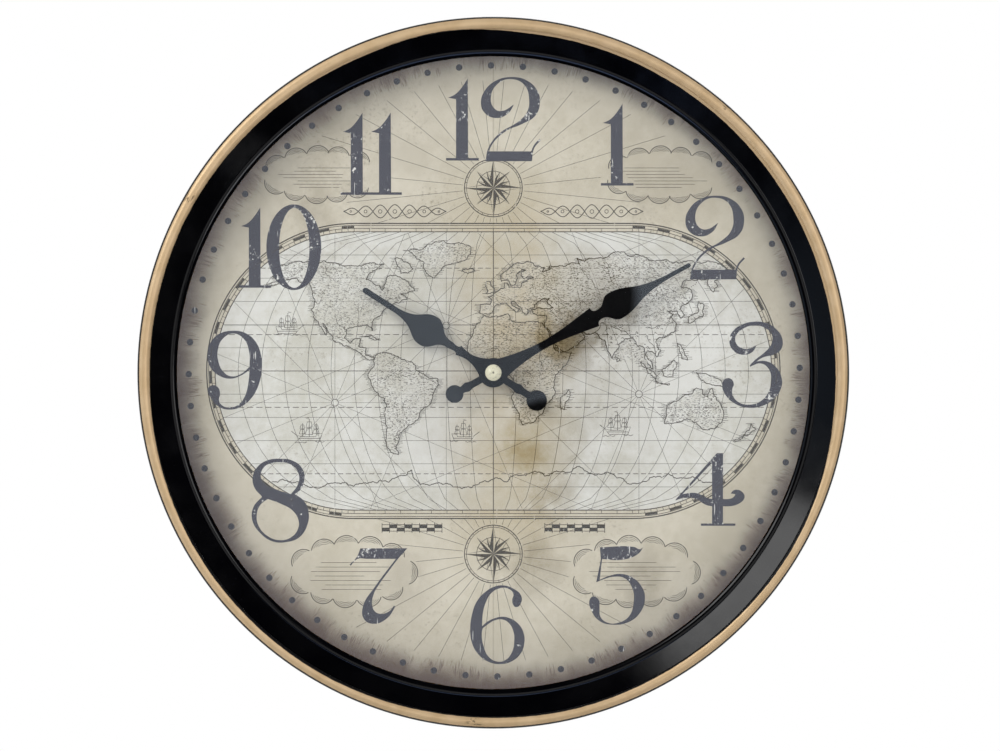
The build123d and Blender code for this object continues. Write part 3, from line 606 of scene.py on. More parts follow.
def gold_reach(tree, place):
    """Mask of the gold paint from its inner edge outwards, sprayed a little off centre."""
    size = sizes()
    flat = moved(tree, "MULTIPLY", place, (1, 0, 1))
    radius = distance_to(tree, flat, (-size["paint_left"], 0, -size["paint_down"]))
    uneven = times(tree, cloud(tree, place, 240.0, 3.0, 0.6), 0.5 * MM)
    front = -front_of("gold_rim")
    for x, z, reach, missed in SPRAY_MISSED:
        spot = near(tree, place, (x, front, z), reach)
        uneven = calc(tree, "SUBTRACT", uneven, times(tree, spot, missed * MM))
    edge = (size["paint_inner"] + 0.25) * MM
    return span(tree, plus(tree, radius, uneven), edge - 0.15 * MM, edge + 0.15 * MM)


def gold_finish():
    """Satin gold paint over the crown of a black moulding, with a few dark scuffs."""
    paint = colours()
    material, tree, shader, place = new_finish("gold_paint")
    marks = grain_marks(tree, place, 1800.0)
    gold = blend(tree, span(tree, marks["Drift"], 0.3, 0.7), paint["gold_deep"], paint["gold"])
    patches = 0.0
    for point, radius in SCUFFS:
        patches = larger(tree, near(tree, place, point, radius), patches)
    along = polar(tree, place, 60.0, 1500.0)["Streaks"]
    worn = times(tree, patches, span(tree, cloud(tree, along, 1.0, 3.0, 0.6), 0.53, 0.58))
    depth = plus(tree, parts_of(tree, place)[1], times(tree, marks["Grain"], 0.3 * MM))
    paint_line = (-front_of("gold_rim") + sizes()["paint_edge"]) * MM
    low = span(tree, depth, paint_line + 0.1 * MM, paint_line + 0.4 * MM)
    crest = reach_of("gold_rim") - sizes()["rim_width"] / 2
    bare = times(tree, low, calc(tree, "GREATER_THAN", polar(tree, place)["Radius"], crest * MM))
    cover = calc(tree, "SUBTRACT", gold_reach(tree, place), bare, True)
    coloured = blend(tree, cover, paint["shell_black"], blend(tree, worn, gold, paint["scuff"]))
    rough = between(tree, marks["Drift"], 0.34, 0.46)
    metal = times(tree, cover, GOLD_METAL)
    coat(tree, shader, coloured, rough, marks["Grain"], 0.0015, metal, DULL_SPECULAR)
    return material


def gloss_finish():
    """Gloss black moulding with faint smears, specks of dust and gold paint on its outermost edge."""
    paint = colours()
    material, tree, shader, place = new_finish("gloss_black")
    marks = grain_marks(tree, place, 700.0)
    dust = specks(tree, place, 420.0, 0.06)
    smear = span(tree, marks["Drift"], 0.35, 0.7)
    dusty = tuple(0.02 + 2.0 * value for value in paint["slope_black"])
    share = larger(tree, times(tree, dust, 0.5), times(tree, smear, 0.04))
    black = blend(tree, share, paint["slope_black"], dusty)
    gold = gold_reach(tree, place)
    coloured = blend(tree, gold, black, paint["gold_deep"])
    rough = plus(tree, between(tree, smear, 0.12, 0.2), times(tree, gold, 0.25))
    coat(tree, shader, coloured, rough, marks["Grain"], 0.004, times(tree, gold, GOLD_METAL), 0.26)
    return material


def glass_finish():
    """Clear flat glass; lamp light passes straight through it."""
    material, tree, shader, place = new_finish("clear_glass")
    drift = grain_marks(tree, place, 160.0)["Drift"]
    plug(tree, shader.inputs["Base Color"], blend(tree, drift, (0.985, 0.99, 0.99), (1.0, 1.0, 1.0)))
    plug(tree, shader.inputs["Roughness"], between(tree, drift, 0.0, 0.012))
    shader.inputs["Transmission Weight"].default_value = 1.0
    shader.inputs["IOR"].default_value = 1.52
    shader.inputs["Specular Tint"].default_value = (0.74, 0.85, 1.0, 1.0)
    rays = tree.nodes.new("ShaderNodeLightPath").outputs
    passing = larger(tree, rays["Is Shadow Ray"], rays["Is Diffuse Ray"])
    clear = tree.nodes.new("ShaderNodeBsdfTransparent").outputs[0]
    mixed = node_in(tree, "ShaderNodeMixShader", {0: passing, 1: shader.outputs[0], 2: clear})
    tree.links.new(mixed.outputs[0], tree.nodes["Material Output"].inputs["Surface"])
    return material


def within_chart(tree, place):
    """Mask of the paper inside the oval chart."""
    size = sizes()
    parts = parts_of(tree, place)
    beyond = calc(tree, "SUBTRACT", calc(tree, "ABSOLUTE", parts[0]), size["chart_half_width"] / 2 * MM)
    across = larger(tree, beyond, 0.0)
    above = calc(tree, "SUBTRACT", parts[2], size["print_offset"] * MM)
    reach = calc(tree, "SQRT", plus(tree, times(tree, across, across), times(tree, above, above)))
    edge = size["chart_half_height"]
    return span(tree, reach, (edge + 0.2) * MM, (edge - 0.2) * MM)


def scorch_and_shade_masks(tree, place):
    """Masks of the scorched edge, with fine strokes along the radius and a soft painted shade of the bezel's
    lip at the very edge, and of a broader painted shade towards the edge.
    """
    place = moved(tree, "ADD", place, (-1.3 * MM, 0, -2.2 * MM))
    hair = polar(tree, place, 400.0, 190.0)
    strokes = cloud(tree, hair["Streaks"], 1.0, 2.0, 0.5)
    coarse = polar(tree, place, 9.0, 20.0)["Streaks"]
    swell = calc(tree, "SUBTRACT", cloud(tree, coarse, 1.0, 3.0, 0.55), 0.5)
    ragged = plus(tree, hair["Radius"], times(tree, swell, 13 * MM))
    reach = span(tree, ragged, 136.5 * MM, 148 * MM)
    dense = plus(tree, strokes, times(tree, reach, 0.28))
    lines = times(tree, span(tree, dense, 0.6, 0.73), span(tree, reach, 0.0, 0.2))
    tufts = between(tree, span(tree, cloud(tree, coarse, 2.6, 2.0, 0.5), 0.4, 0.58), 0.25, 1.0)
    streaky = between(tree, strokes, 0.76, 1.08)
    # Painted shade: soft darkening at the very edge of the paper, where the bezel's lip shades it.
    soft = times(tree, span(tree, ragged, 136 * MM, 149.5 * MM), streaky)
    scorch_and_lip_shade = larger(tree, times(tree, times(tree, lines, tufts), 0.8), soft)
    return scorch_and_lip_shade, span(tree, hair["Radius"], 104 * MM, 150 * MM)


# Brown stains of the paper: x, z and radius in millimetres, and depth. The broad patches high up (z 78 to
# 112) are partly painted shade that darkens the top of the paper.
STAINS_AND_TOP_SHADE = (
    (32, 16, 40, 0.95), (62, 32, 32, 0.75), (14, -36, 26, 0.85), (24, -57, 26, 0.8), (6, 40, 24, 0.55),
    (18, -88, 26, 0.7), (-74, 6, 30, 0.2), (96, 34, 44, 0.42), (-40, -98, 24, 0.35), (70, -96, 26, 0.5),
    (38, -38, 24, 0.5), (-78, 78, 62, 0.42), (70, 78, 52, 0.32), (-34, 112, 50, 0.26), (8, 70, 26, 0.4),
)


def paper_tone(tree, place):
    """Colour of the aged paper: clouds, stains, a fold and a scorched edge, with painted shade towards the
    edge under the bezel and at the top.
    """
    paint = colours()
    stain = paint["paper_stain"]
    broad = cloud(tree, place, 16.0, 6.0, 0.6)
    fine = cloud(tree, place, 220.0, 4.0, 0.65)
    tone = plus(tree, times(tree, broad, 0.72), times(tree, fine, 0.28))
    share = span(tree, tone, 0.36, 0.6)
    outer = blend(tree, share, paint["paper_deep"], paint["paper_pale"])
    inner = blend(tree, share, paint["chart_deep"], paint["chart_pale"])
    paper = blend(tree, within_chart(tree, place), outer, inner)
    front = -front_of("dial_sheet")
    # Stains, and painted shade at the top of the paper.
    stains_and_top_shade = 0.0
    for x, z, radius, depth in STAINS_AND_TOP_SHADE:
        stains_and_top_shade = larger(tree, times(tree, near(tree, place, (x, front, z), radius), depth), stains_and_top_shade)
    ragged = span(tree, cloud(tree, place, 38.0, 7.0, 0.68), 0.34, 0.64)
    browned = times(tree, near(tree, place, (14, front, 2), 125), between(tree, ragged, 0.24, 0.46))
    paper = blend(tree, larger(tree, times(tree, stains_and_top_shade, ragged), browned), paper, stain)
    parts = parts_of(tree, place)
    off_band = calc(tree, "ABSOLUTE", calc(tree, "SUBTRACT", parts[0], 7 * MM))
    middle = span(tree, calc(tree, "ABSOLUTE", parts[2]), 105 * MM, 50 * MM)
    band = times(tree, span(tree, off_band, 38 * MM, 4 * MM), between(tree, ragged, 0.28, 0.5))
    paper = blend(tree, times(tree, band, middle), paper, paint["paper_tan"])
    scorch_and_lip_shade, shade = scorch_and_shade_masks(tree, place)
    # Painted shade: the paper darkens towards its edge, under the bezel, in the colour of the stains.
    paper = blend(tree, times(tree, shade, 0.3), paper, stain)
    spots = span(tree, cloud(tree, place, 620.0, 6.0, 0.75), 0.54, 0.64)
    foxing = times(tree, spots, span(tree, cloud(tree, place, 24.0, 4.0, 0.6), 0.46, 0.66))
    paper = blend(tree, times(tree, foxing, 0.45), paper, stain)
    # Scorched strokes, and the painted shade of the bezel's lip at the very edge.
    paper = blend(tree, scorch_and_lip_shade, paper, paint["paper_burnt"])
    fold = span(tree, calc(tree, "ABSOLUTE", parts[0]), 0.5 * MM, 0.1 * MM)
    return blend(tree, times(tree, fold, between(tree, broad, 0.15, 0.55)), paper, stain)


def paper_finish():
    """Aged printing paper."""
    material, tree, shader, place = new_finish("print_paper")
    fibre = cloud(tree, place, 900.0, 5.0, 0.7)
    rough = between(tree, fibre, 0.7, 0.9)
    coat(tree, shader, paper_tone(tree, place), rough, fibre, 0.02, specular=DULL_SPECULAR)
    return material


def land_finish():
    """Paper under the lands, darkened by a dense engraver's texture of short marks."""
    material, tree, shader, place = new_finish("chart_land")
    stretched = node_in(tree, "ShaderNodeMapping", {"Vector": place, "Scale": (900, 900, 2100)}).outputs[0]
    marks = span(tree, cloud(tree, stretched, 1.0, 2.0, 0.5), 0.54, 0.6)
    density = between(tree, span(tree, cloud(tree, place, 90.0, 3.0, 0.6), 0.35, 0.65), 0.35, 0.85)
    engraved = blend(tree, times(tree, marks, density), paper_tone(tree, place), colours()["chart_ink"])
    coat(tree, shader, engraved, between(tree, marks, 0.8, 0.7), marks, 0.004, specular=DULL_SPECULAR)
    return material


def ink_finish(name, dark, pale, worn_from, worn_to, chipped=0.0):
    """Printing ink that has worn off in flecks and scratches, so that paler paper shows through."""
    material, tree, shader, place = new_finish(name)
    flecks = cloud(tree, place, 640.0, 6.0, 0.72)
    patches = cloud(tree, place, 60.0, 4.0, 0.6)
    wear = plus(tree, times(tree, flecks, 0.6), times(tree, patches, 0.4))
    inputs = {"Vector": place, "Rotation": (0, math.radians(38), 0), "Scale": (900, 900, 70)}
    stretched = node_in(tree, "ShaderNodeMapping", inputs).outputs[0]
    lines = times(tree, span(tree, cloud(tree, stretched, 1.0, 2.0, 0.5), 0.69, 0.72), 0.8)
    chips = times(tree, specks(tree, place, 270.0, 0.1), chipped)
    worn = larger(tree, span(tree, wear, worn_from, worn_to), larger(tree, lines, chips))
    rough = between(tree, flecks, 0.6, 0.85)
    coat(tree, shader, blend(tree, worn, dark, pale), rough, flecks, 0.01, specular=DULL_SPECULAR)
    return material


def cap_finish():
    """Pale lacquer with mottled dark patches that are painted reflections, and darker in the middle of the
    dimple.
    """
    paint = colours()
    material, tree, shader, place = new_finish("cap_cream")
    mottle = cloud(tree, place, 520.0, 3.0, 0.6)
    cream_in_painted_shade = tuple(0.5 * value for value in paint["cap_cream"])
    # Painted reflection: dark mottled patches of a half-bright cream.
    cream = blend(tree, times(tree, span(tree, mottle, 0.5, 0.68), 0.7), paint["cap_cream"], cream_in_painted_shade)
    # Darker in the middle of the dimple.
    dimple_dark = times(tree, span(tree, polar(tree, place)["Radius"], 0.6 * MM, 0.35 * MM), 0.75)
    coloured = blend(tree, dimple_dark, cream, paint["scuff"])
    coat(tree, shader, coloured, between(tree, mottle, 0.2, 0.36), mottle, 0.02)
    return material


def jacket_finish():
    """Printed battery jacket in two plain colours with steel ends."""
    paint = colours()
    material, tree, shader, place = new_finish("cell_jacket")
    low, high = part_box("battery")
    inputs = {"Value": parts_of(tree, place)[0], "From Min": low.x, "From Max": high.x}
    share = node_in(tree, "ShaderNodeMapRange", inputs).outputs["Result"]
    band = times(tree, span(tree, share, 0.7, 0.705), span(tree, share, 0.78, 0.775))
    jacket = blend(tree, band, paint["jacket"], paint["jacket_band"])
    steel = larger(tree, span(tree, share, 0.025, 0.02), span(tree, share, 0.955, 0.96))
    marks = grain_marks(tree, place, 900.0)
    worn = blend(tree, times(tree, marks["Drift"], 0.25), jacket, (0.01, 0.012, 0.016))
    coloured = blend(tree, steel, worn, (0.52, 0.52, 0.5))
    rough = between(tree, marks["Drift"], 0.22, 0.4)
    coat(tree, shader, coloured, rough, marks["Grain"], 0.004, times(tree, steel, 0.9))
    return material


def winding_finish():
    """Fine enamelled wire wound side by side."""
    material, tree, shader, place = new_finish("copper_wire")
    inputs = {"Vector": place, "Scale": 2600.0, "Distortion": 0.6}
    turns = node_in(tree, "ShaderNodeTexWave", inputs, bands_direction="X").outputs["Fac"]
    drift = cloud(tree, place, 300.0)
    copper = blend(tree, turns, (0.18, 0.055, 0.02), (0.5, 0.2, 0.085))
    coloured = blend(tree, times(tree, drift, 0.3), copper, (0.25, 0.09, 0.03))
    coat(tree, shader, coloured, between(tree, drift, 0.25, 0.4), turns, 0.03, 0.7)
    return material


class CLOCK_OT_case(bpy.types.Operator):
    """Turns the gold rim and the black ring, moulds the rear shell and fits screws, spacer and glass"""

    bl_idname = "clock.case"
    bl_label = "Case"

    def execute(self, context):
        size = sizes()
        rim_radius = reach_of("gold_rim")
        split = back_of("gold_rim")
        ring_radius = reach_of("bezel")
        shoulder = front_of("bezel")
        rim_inner = rim_radius - size["rim_width"]
        base = shoulder - size["rim_drop"]
        inner_top = shoulder + size["rim_step"]
        crown_radius = front_of("gold_rim") - base
        round_edge = size["edge_round"]
        crown_middle = (rim_radius - crown_radius, base + crown_radius)
        crown = arc_through((rim_radius, base), crown_middle, (rim_inner, inner_top), CROWN_STEPS)
        soft_inner = [(rim_inner, inner_top - round_edge)]
        soft_back = [(ring_radius, split), (rim_radius - round_edge, split), (rim_radius, split + round_edge)]
        outline = crown[:-1] + soft_inner + [(rim_inner, shoulder), (ring_radius, shoulder)] + soft_back
        rim = turned("gold_rim_ring", outline, CASE_STEPS)
        settle(rim, "case", gold_finish(), ["gold_rim"])

        glass_radius = reach_of("glass_lens")
        glass_front = front_of("glass_lens")
        crease = glass_front + size["lip_rise"]
        lip_inner = glass_radius - size["lip_width"]
        pocket = reach_of("spacer_ring") + 0.5
        pocket_outer = pocket + size["pocket_wall"]
        wall_inner = ring_radius - size["ring_wall"]
        slope = (shoulder - crease) / (rim_inner - glass_radius)
        under_pocket = crease + slope * (pocket_outer - glass_radius) - size["ring_skin"]
        under_wall = crease + slope * (wall_inner - glass_radius) - size["ring_skin"]
        lip_middle = (lip_inner + 0.4 * size["lip_width"], glass_front + 0.88 * size["lip_rise"])
        lip = arc_through((glass_radius, crease), lip_middle, (lip_inner, glass_front + 0.35), LIP_STEPS)
        outline = lip + [
            (lip_inner, glass_front), (pocket, glass_front), (pocket, split), (pocket_outer, split),
            (pocket_outer, under_pocket), (wall_inner, under_wall), (wall_inner, split), (ring_radius, split),
            (ring_radius, shoulder), (rim_inner, shoulder),
        ]
        ring = turned("bezel_ring", outline, CASE_STEPS)
        settle(ring, "case", gloss_finish(), ["bezel"])

        shell = softened("rear_case", round_edge)
        settle(shell, "case", shell_black(), ["rear_case"])
        screws = softened("case_screws", 0.15)
        settle(screws, "case", stock_finish("zinc_steel"), ["case_screws"])
        dress(shell_black(), "spacer_ring")
        dress(glass_finish(), "glass_lens")
        return {"FINISHED"}


class CLOCK_OT_dial(bpy.types.Operator):
    """Ages the paper of the dial and finishes the board behind it"""

    bl_idname = "clock.dial"
    bl_label = "Dial"

    def execute(self, context):
        dress(paper_finish(), "dial_sheet")
        dress(stock_finish("hardboard"), "dial_plate")
        return {"FINISHED"}


# Coasts of a simple world chart, as longitude and latitude in degrees.
COASTS = {
    "north_america": (
        (-168, 66), (-156, 71), (-140, 70), (-128, 70), (-115, 68), (-105, 68), (-95, 70), (-86, 69),
        (-94, 62), (-94, 59), (-88, 57), (-82, 55), (-79, 52), (-79, 56), (-77, 62), (-70, 61), (-65, 59),
        (-60, 55), (-56, 52), (-66, 50), (-60, 47), (-65, 44), (-70, 43), (-74, 40), (-76, 36), (-81, 31),
        (-80, 26), (-84, 30), (-90, 29), (-97, 27), (-98, 22), (-94, 18), (-90, 21), (-87, 21), (-88, 16),
        (-83, 15), (-83, 10), (-79, 9), (-77, 8), (-80, 7), (-85, 10), (-91, 14), (-97, 16), (-105, 20),
        (-106, 23), (-110, 27), (-114, 31), (-110, 23), (-113, 27), (-117, 32), (-121, 35), (-124, 40),
        (-124, 46), (-128, 51), (-134, 57), (-146, 60), (-152, 59), (-158, 56), (-164, 54), (-158, 58),
        (-165, 61), (-161, 64), (-168, 66),
    ),
    "south_america": (
        (-77, 8), (-75, 11), (-71, 12), (-64, 10), (-60, 8), (-52, 5), (-50, 0), (-44, -3), (-36, -5),
        (-35, -9), (-39, -14), (-41, -21), (-46, -24), (-49, -28), (-54, -34), (-58, -36), (-62, -39),
        (-65, -42), (-66, -46), (-69, -51), (-68, -54), (-72, -53), (-75, -48), (-73, -40), (-72, -32),
        (-70, -22), (-71, -18), (-76, -14), (-79, -8), (-81, -4), (-80, 0), (-77, 4), (-77, 8),
    ),
    "africa": (
        (-6, 36), (10, 37), (11, 33), (20, 31), (25, 32), (32, 31), (34, 28), (37, 21), (39, 15), (43, 12),
        (51, 12), (47, 4), (41, -2), (39, -7), (40, -15), (35, -21), (32, -28), (27, -33), (20, -35),
        (17, -31), (14, -23), (12, -16), (13, -9), (9, -1), (9, 4), (4, 6), (-4, 5), (-8, 4), (-13, 8),
        (-17, 14), (-16, 20), (-13, 27), (-9, 31), (-6, 36),
    ),
    "eurasia": (
        (-9, 37), (-9, 43), (-2, 43), (-1, 46), (-4, 48), (2, 51), (5, 53), (8, 54), (8, 57), (10, 57),
        (11, 54), (19, 54), (21, 57), (24, 58), (30, 60), (22, 60), (21, 63), (25, 65), (22, 66), (17, 62),
        (18, 60), (16, 56), (13, 55), (11, 59), (6, 58), (5, 62), (12, 66), (20, 70), (28, 71), (40, 67),
        (37, 64), (44, 66), (44, 68), (60, 69), (68, 69), (68, 73), (73, 71), (80, 73), (104, 77), (113, 74),
        (130, 71), (140, 72), (160, 70), (179, 69), (178, 65), (170, 60), (162, 58), (162, 55), (156, 51),
        (156, 57), (163, 62), (155, 59), (142, 59), (135, 54), (141, 52), (138, 46), (132, 43), (127, 40),
        (129, 36), (126, 34), (125, 39), (121, 39), (118, 39), (122, 37), (119, 35), (122, 31), (119, 25),
        (113, 22), (108, 21), (106, 19), (109, 13), (106, 9), (105, 11), (100, 13), (99, 10), (103, 3),
        (103, 1), (98, 8), (97, 16), (94, 16), (91, 22), (87, 21), (82, 17), (80, 13), (77, 8), (74, 14),
        (73, 20), (70, 21), (67, 25), (57, 25), (56, 27), (51, 28), (48, 30), (51, 24), (56, 26), (60, 22),
        (55, 17), (45, 13), (43, 14), (39, 21), (35, 28), (34, 31), (36, 36), (30, 36), (27, 37), (26, 40),
        (31, 41), (41, 41), (37, 45), (39, 47), (33, 46), (28, 43), (28, 41), (23, 40), (24, 38), (22, 36),
        (19, 41), (13, 45), (12, 44), (18, 40), (16, 38), (12, 41), (9, 44), (3, 43), (0, 39), (-2, 37),
        (-9, 37),
    ),
    "greenland": (
        (-73, 78), (-60, 82), (-32, 83), (-20, 80), (-22, 72), (-40, 65), (-44, 60), (-52, 65), (-55, 70),
        (-68, 76), (-73, 78),
    ),
    "australia": (
        (114, -22), (122, -18), (129, -15), (132, -11), (136, -12), (136, -15), (140, -17), (142, -11),
        (146, -19), (150, -23), (153, -28), (150, -37), (144, -38), (138, -35), (131, -31), (124, -33),
        (115, -34), (114, -22),
    ),
    "madagascar": ((49, -12), (50, -16), (47, -25), (44, -24), (44, -17), (49, -12)),
    "britain": ((-5, 50), (1, 51), (1, 53), (-2, 55), (-3, 58), (-5, 58), (-5, 54), (-4, 52), (-5, 50)),
    "iceland": ((-24, 65), (-16, 66), (-14, 65), (-19, 63), (-22, 64), (-24, 65)),
    "japan": (
        (130, 31), (135, 33), (141, 35), (142, 39), (145, 43), (142, 45), (140, 42), (139, 38), (136, 37),
        (131, 34), (130, 31),
    ),
    "borneo": ((109, 1), (113, 3), (117, 7), (119, 5), (117, 1), (116, -4), (110, -3), (109, 1)),
    "sumatra": ((95, 6), (103, 0), (106, -3), (105, -6), (100, -1), (95, 6)),
    "java": ((105, -6), (114, -8), (114, -9), (106, -8), (105, -6)),
    "new_guinea": ((131, -1), (138, -2), (147, -6), (150, -10), (143, -9), (138, -8), (133, -4), (131, -1)),
    "new_zealand": (
        (173, -34), (178, -38), (175, -41), (171, -44), (168, -46), (166, -45), (172, -41), (174, -38),
        (173, -34),
    ),
    "cuba": ((-85, 22), (-77, 20), (-74, 20), (-80, 23), (-85, 22)),
    "ceylon": ((80, 9), (82, 7), (80, 6), (80, 9)),
    "philippines": ((120, 18), (122, 17), (124, 12), (126, 7), (122, 8), (121, 13), (120, 18)),
    "baffin": ((-80, 73), (-68, 70), (-62, 66), (-70, 63), (-75, 68), (-80, 73)),
}
SOUTH_COAST = (
    (-179, -72), (-150, -75), (-120, -72), (-90, -71), (-62, -64), (-60, -73), (-30, -75), (0, -70),
    (40, -68), (90, -66), (135, -66), (165, -71), (179, -72),
)
RIVERS = (
    ((-75, -6), (-66, -3), (-58, -3), (-50, 0)), ((-58, -35), (-59, -28), (-56, -18)),
    ((-64, 9), (-67, 6), (-70, 3)), ((-90, 29), (-91, 36), (-93, 44)), ((-97, 26), (-104, 31), (-107, 37)),
    ((-66, 50), (-74, 46), (-83, 44)), ((-134, 69), (-125, 62), (-115, 58)), ((32, 31), (33, 18), (31, 4)),
    ((12, -6), (20, 1), (26, -5)), ((6, 5), (2, 15), (-8, 12)), ((35, -18), (28, -17), (23, -13)),
    ((29, 45), (20, 45), (10, 48)), ((47, 46), (45, 52), (37, 57)), ((69, 67), (70, 60), (82, 52)),
    ((82, 71), (87, 62), (93, 53)), ((126, 72), (125, 62), (108, 55)), ((140, 53), (130, 48), (118, 50)),
    ((121, 31), (112, 30), (101, 28)), ((119, 37), (110, 38), (102, 35)), ((105, 10), (104, 17), (100, 24)),
    ((90, 22), (84, 26), (78, 29)), ((67, 25), (71, 30), (76, 34)), ((48, 30), (44, 34), (40, 38)),
)


# Hills on each of the six largest lands, in the order of the coasts.
HILL_COUNTS = (130, 90, 120, 340, 14, 44)
# Widths of the engraver's lines, in millimetres.
HAIR = 0.18
TICK = 0.25
FINE = 0.26
THIN = 0.28
LINE = 0.3
AXIS = 0.34
HEAVY = 0.42
# Distances of the border's lines outside the chart, in millimetres.
BORDER_INNER = 1.6
BORDER_MIDDLE = 3.0
BORDER_OUTER = 3.9
# Rays of a compass rose, shortest first: their count, the share of the waist and the share of the reach.
ROSE_RAYS = ((16, 0.5, 0.62), (8, 0.35, 0.8), (4, 0.3, 1.0))
ROSE_MARKS = 32
ROSE_INNER = 0.93
# Banks of clouds: x, z, half width and half height, and the room that rays leave round them, in millimetres.
CLOUD_PLACES = ((-80, 92.5, 24, 8), (80, 92.5, 24, 8), (-66, -93, 25, 11), (66, -93, 25, 11))
CLOUD_ROOM = 6
# Arcs of a puff of cloud: share of its radius, half sweep and width of the line.
PUFF_ARCS = ((1.0, 1.22, 0.4), (0.86, 1.0, 0.22), (0.73, 0.8, 0.22), (0.6, 0.6, 0.22))
PUFFS = 11
WIND_PLACES = ((-74, -14), (68, -10), (-22, 22))
WIND_RING = 1.6
WINDS = 16
# Places beside the chart, in millimetres: the room up to a rose, the start and rise of the plaited bands,
# and the middle, drop and length of the scale bars.
ROSE_GAP = 7
PLAIT_START = 22
PLAIT_RISE = 9.5
SCALE_MIDDLE = 38
SCALE_DROP = 9
SCALE_LENGTH = 28
# Lifts and thicknesses of the lands and the roses' rays, in millimetres; each ray lies a step above the last.
LAND_LIFT = 0.003
LAND_THICKNESS = 0.004
RAY_LIFT = 0.008
RAY_STEP = 0.0002
RAY_THICKNESS = 0.01


def round_point(x, z, reach, angle):
    """Point at a distance and angle from another."""
    return x + reach * math.cos(angle), z + reach * math.sin(angle)


def ring_points(x, z, radius, count):
    """Closed circle."""
    return [round_point(x, z, radius, FULL_TURN * index / count) for index in range(count + 1)]


def chart_place(longitude, latitude):
    """Place on the dial, in millimetres, of a point of the oval chart."""
    size = sizes()
    share = latitude / 90
    reach = 0.5 + 0.5 * math.sqrt(1 - share * share)
    x = size["chart_half_width"] * longitude / 180 * reach
    return x, size["print_offset"] + size["chart_half_height"] * share


def chart_line(points):
    """Places on the dial of several points of the chart."""
    return [chart_place(*point) for point in points]


def oval(offset, count):
    """Closed border of the chart at a distance outside its edge."""
    size = sizes()
    bend = size["chart_half_height"] + offset
    points = []
    for side in (1, -1):
        middle = side * size["chart_half_width"] / 2
        for index in range(count + 1):
            angle = side * math.pi / 2 - math.pi * index / count
            points.append(round_point(middle, size["print_offset"], bend, angle))
    return points + points[:1]


def wander(points, roughness, rounds, chance):
    """Line with finer irregular bends, as an engraved coast has."""
    for _ in range(rounds):
        finer = points[:1]
        for (ax, az), (bx, bz) in zip(points, points[1:]):
            shift = chance.uniform(-roughness, roughness)
            finer.append(((ax + bx) / 2 - (bz - az) * shift, (az + bz) / 2 + (bx - ax) * shift))
            finer.append((bx, bz))
        points = finer
    return points


def inside(x, z, outline):
    """True where a point lies within a closed outline."""
    hit = False
    for (ax, az), (bx, bz) in zip(outline, outline[1:]):
        if (az > z) != (bz > z) and x < ax + (z - az) * (bx - ax) / (bz - az):
            hit = not hit
    return hit


def dashes(points, width, keep, skip):
    """Broken line: runs of neighbouring points, some kept and some skipped."""
    return [
        (width, points[start:start + keep + 1]) for start in range(0, len(points) - keep, keep + skip)
    ]


def graticule_strokes():
    """Meridians, parallels, border and its degree marks."""
    size = sizes()
    strokes = []
    for longitude in range(-165, 180, 15):
        line = [chart_place(longitude, step * 7.5) for step in range(-12, 13)]
        strokes.append((HAIR if longitude else AXIS, line))
    for latitude in range(-75, 90, 15):
        line = [chart_place(longitude, latitude) for longitude in (-180, 180)]
        strokes.append((HAIR if latitude else AXIS, line))
    for latitude in (-66.5, -23.5, 23.5, 66.5):
        line = [chart_place(longitude, latitude) for longitude in range(-180, 181, 2)]
        strokes += dashes(line, LINE, 2, 1)
    for offset, width in ((0.0, HEAVY), (BORDER_INNER, THIN), (BORDER_MIDDLE, THIN), (BORDER_OUTER, 0.55)):
        strokes.append((width, oval(offset, 60)))
    for start, end in zip(oval(0.0, 72), oval(BORDER_INNER, 72)):
        strokes.append((TICK, [start, end]))
    for index in range(-9, 10):
        x = index * size["chart_half_width"] / 18
        for side in (1, -1):
            low = size["print_offset"] + side * size["chart_half_height"]
            strokes.append((TICK, [(x, low), (x, low + side * BORDER_INNER)]))
    pairs = zip(oval(BORDER_INNER, 36), oval(BORDER_MIDDLE, 36))
    centres = [((ax + bx) / 2, (az + bz) / 2) for (ax, az), (bx, bz) in pairs]
    for start, end in list(zip(centres, centres[1:]))[::2]:
        if abs(start[0] - end[0]) < 12:
            strokes.append((1.0, [start, end]))
    return strokes


def land_outlines(chance):
    """Closed outlines of the lands on the dial, in the order of the coasts."""
    return [wander(chart_line(coast), 0.17, 4 if len(coast) > 15 else 3, chance) for coast in COASTS.values()]


def hill_strokes(x, z, size):
    """Small hill with a shaded flank."""
    ridge = ((-1.0, 0.0), (-0.25, 0.8), (0.15, 0.7), (0.7, 0.0))
    shade = ((0.05, 0.7), (0.25, 0.05))
    return [(0.2, [(x + across * size, z + up * size) for across, up in line]) for line in (ridge, shade)]


def coast_strokes(lands, chance):
    """Coasts with hatching on the sea side, rivers, hills and dotted borders."""
    strokes = [(HEAVY, line) for line in lands]
    strokes.append((0.4, wander(chart_line(SOUTH_COAST), 0.2, 6, chance)))
    for line in lands:
        last_z = None
        for x, z in line:
            if last_z is not None and abs(z - last_z) < 0.5:
                continue
            last_z = z
            for side in (1, -1):
                reach = side * chance.uniform(1.0, 2.8)
                if not any(inside(x + 0.35 * side, z, land) for land in lands):
                    strokes.append((HAIR, [(x, z), (x + reach, z)]))
    for river in RIVERS:
        strokes.append((FINE, wander(chart_line(river), 0.2, 4, chance)))
    for line, count in zip(lands, HILL_COUNTS):
        across = [x for x, z in line]
        up = [z for x, z in line]
        spots = []
        while len(spots) < count:
            x = chance.uniform(min(across), max(across))
            z = chance.uniform(min(up), max(up))
            if inside(x, z, line):
                spots.append((x, z))
        for x, z in spots:
            strokes += hill_strokes(x, z, chance.uniform(0.45, 0.95))
        for x, z in spots[::6]:
            angle = chance.uniform(0, FULL_TURN)
            end = round_point(x, z, chance.uniform(6, 16), angle)
            if inside(*end, line):
                strokes += dashes(wander([(x, z), end], 0.3, 5, chance), FINE, 1, 1)
    return strokes


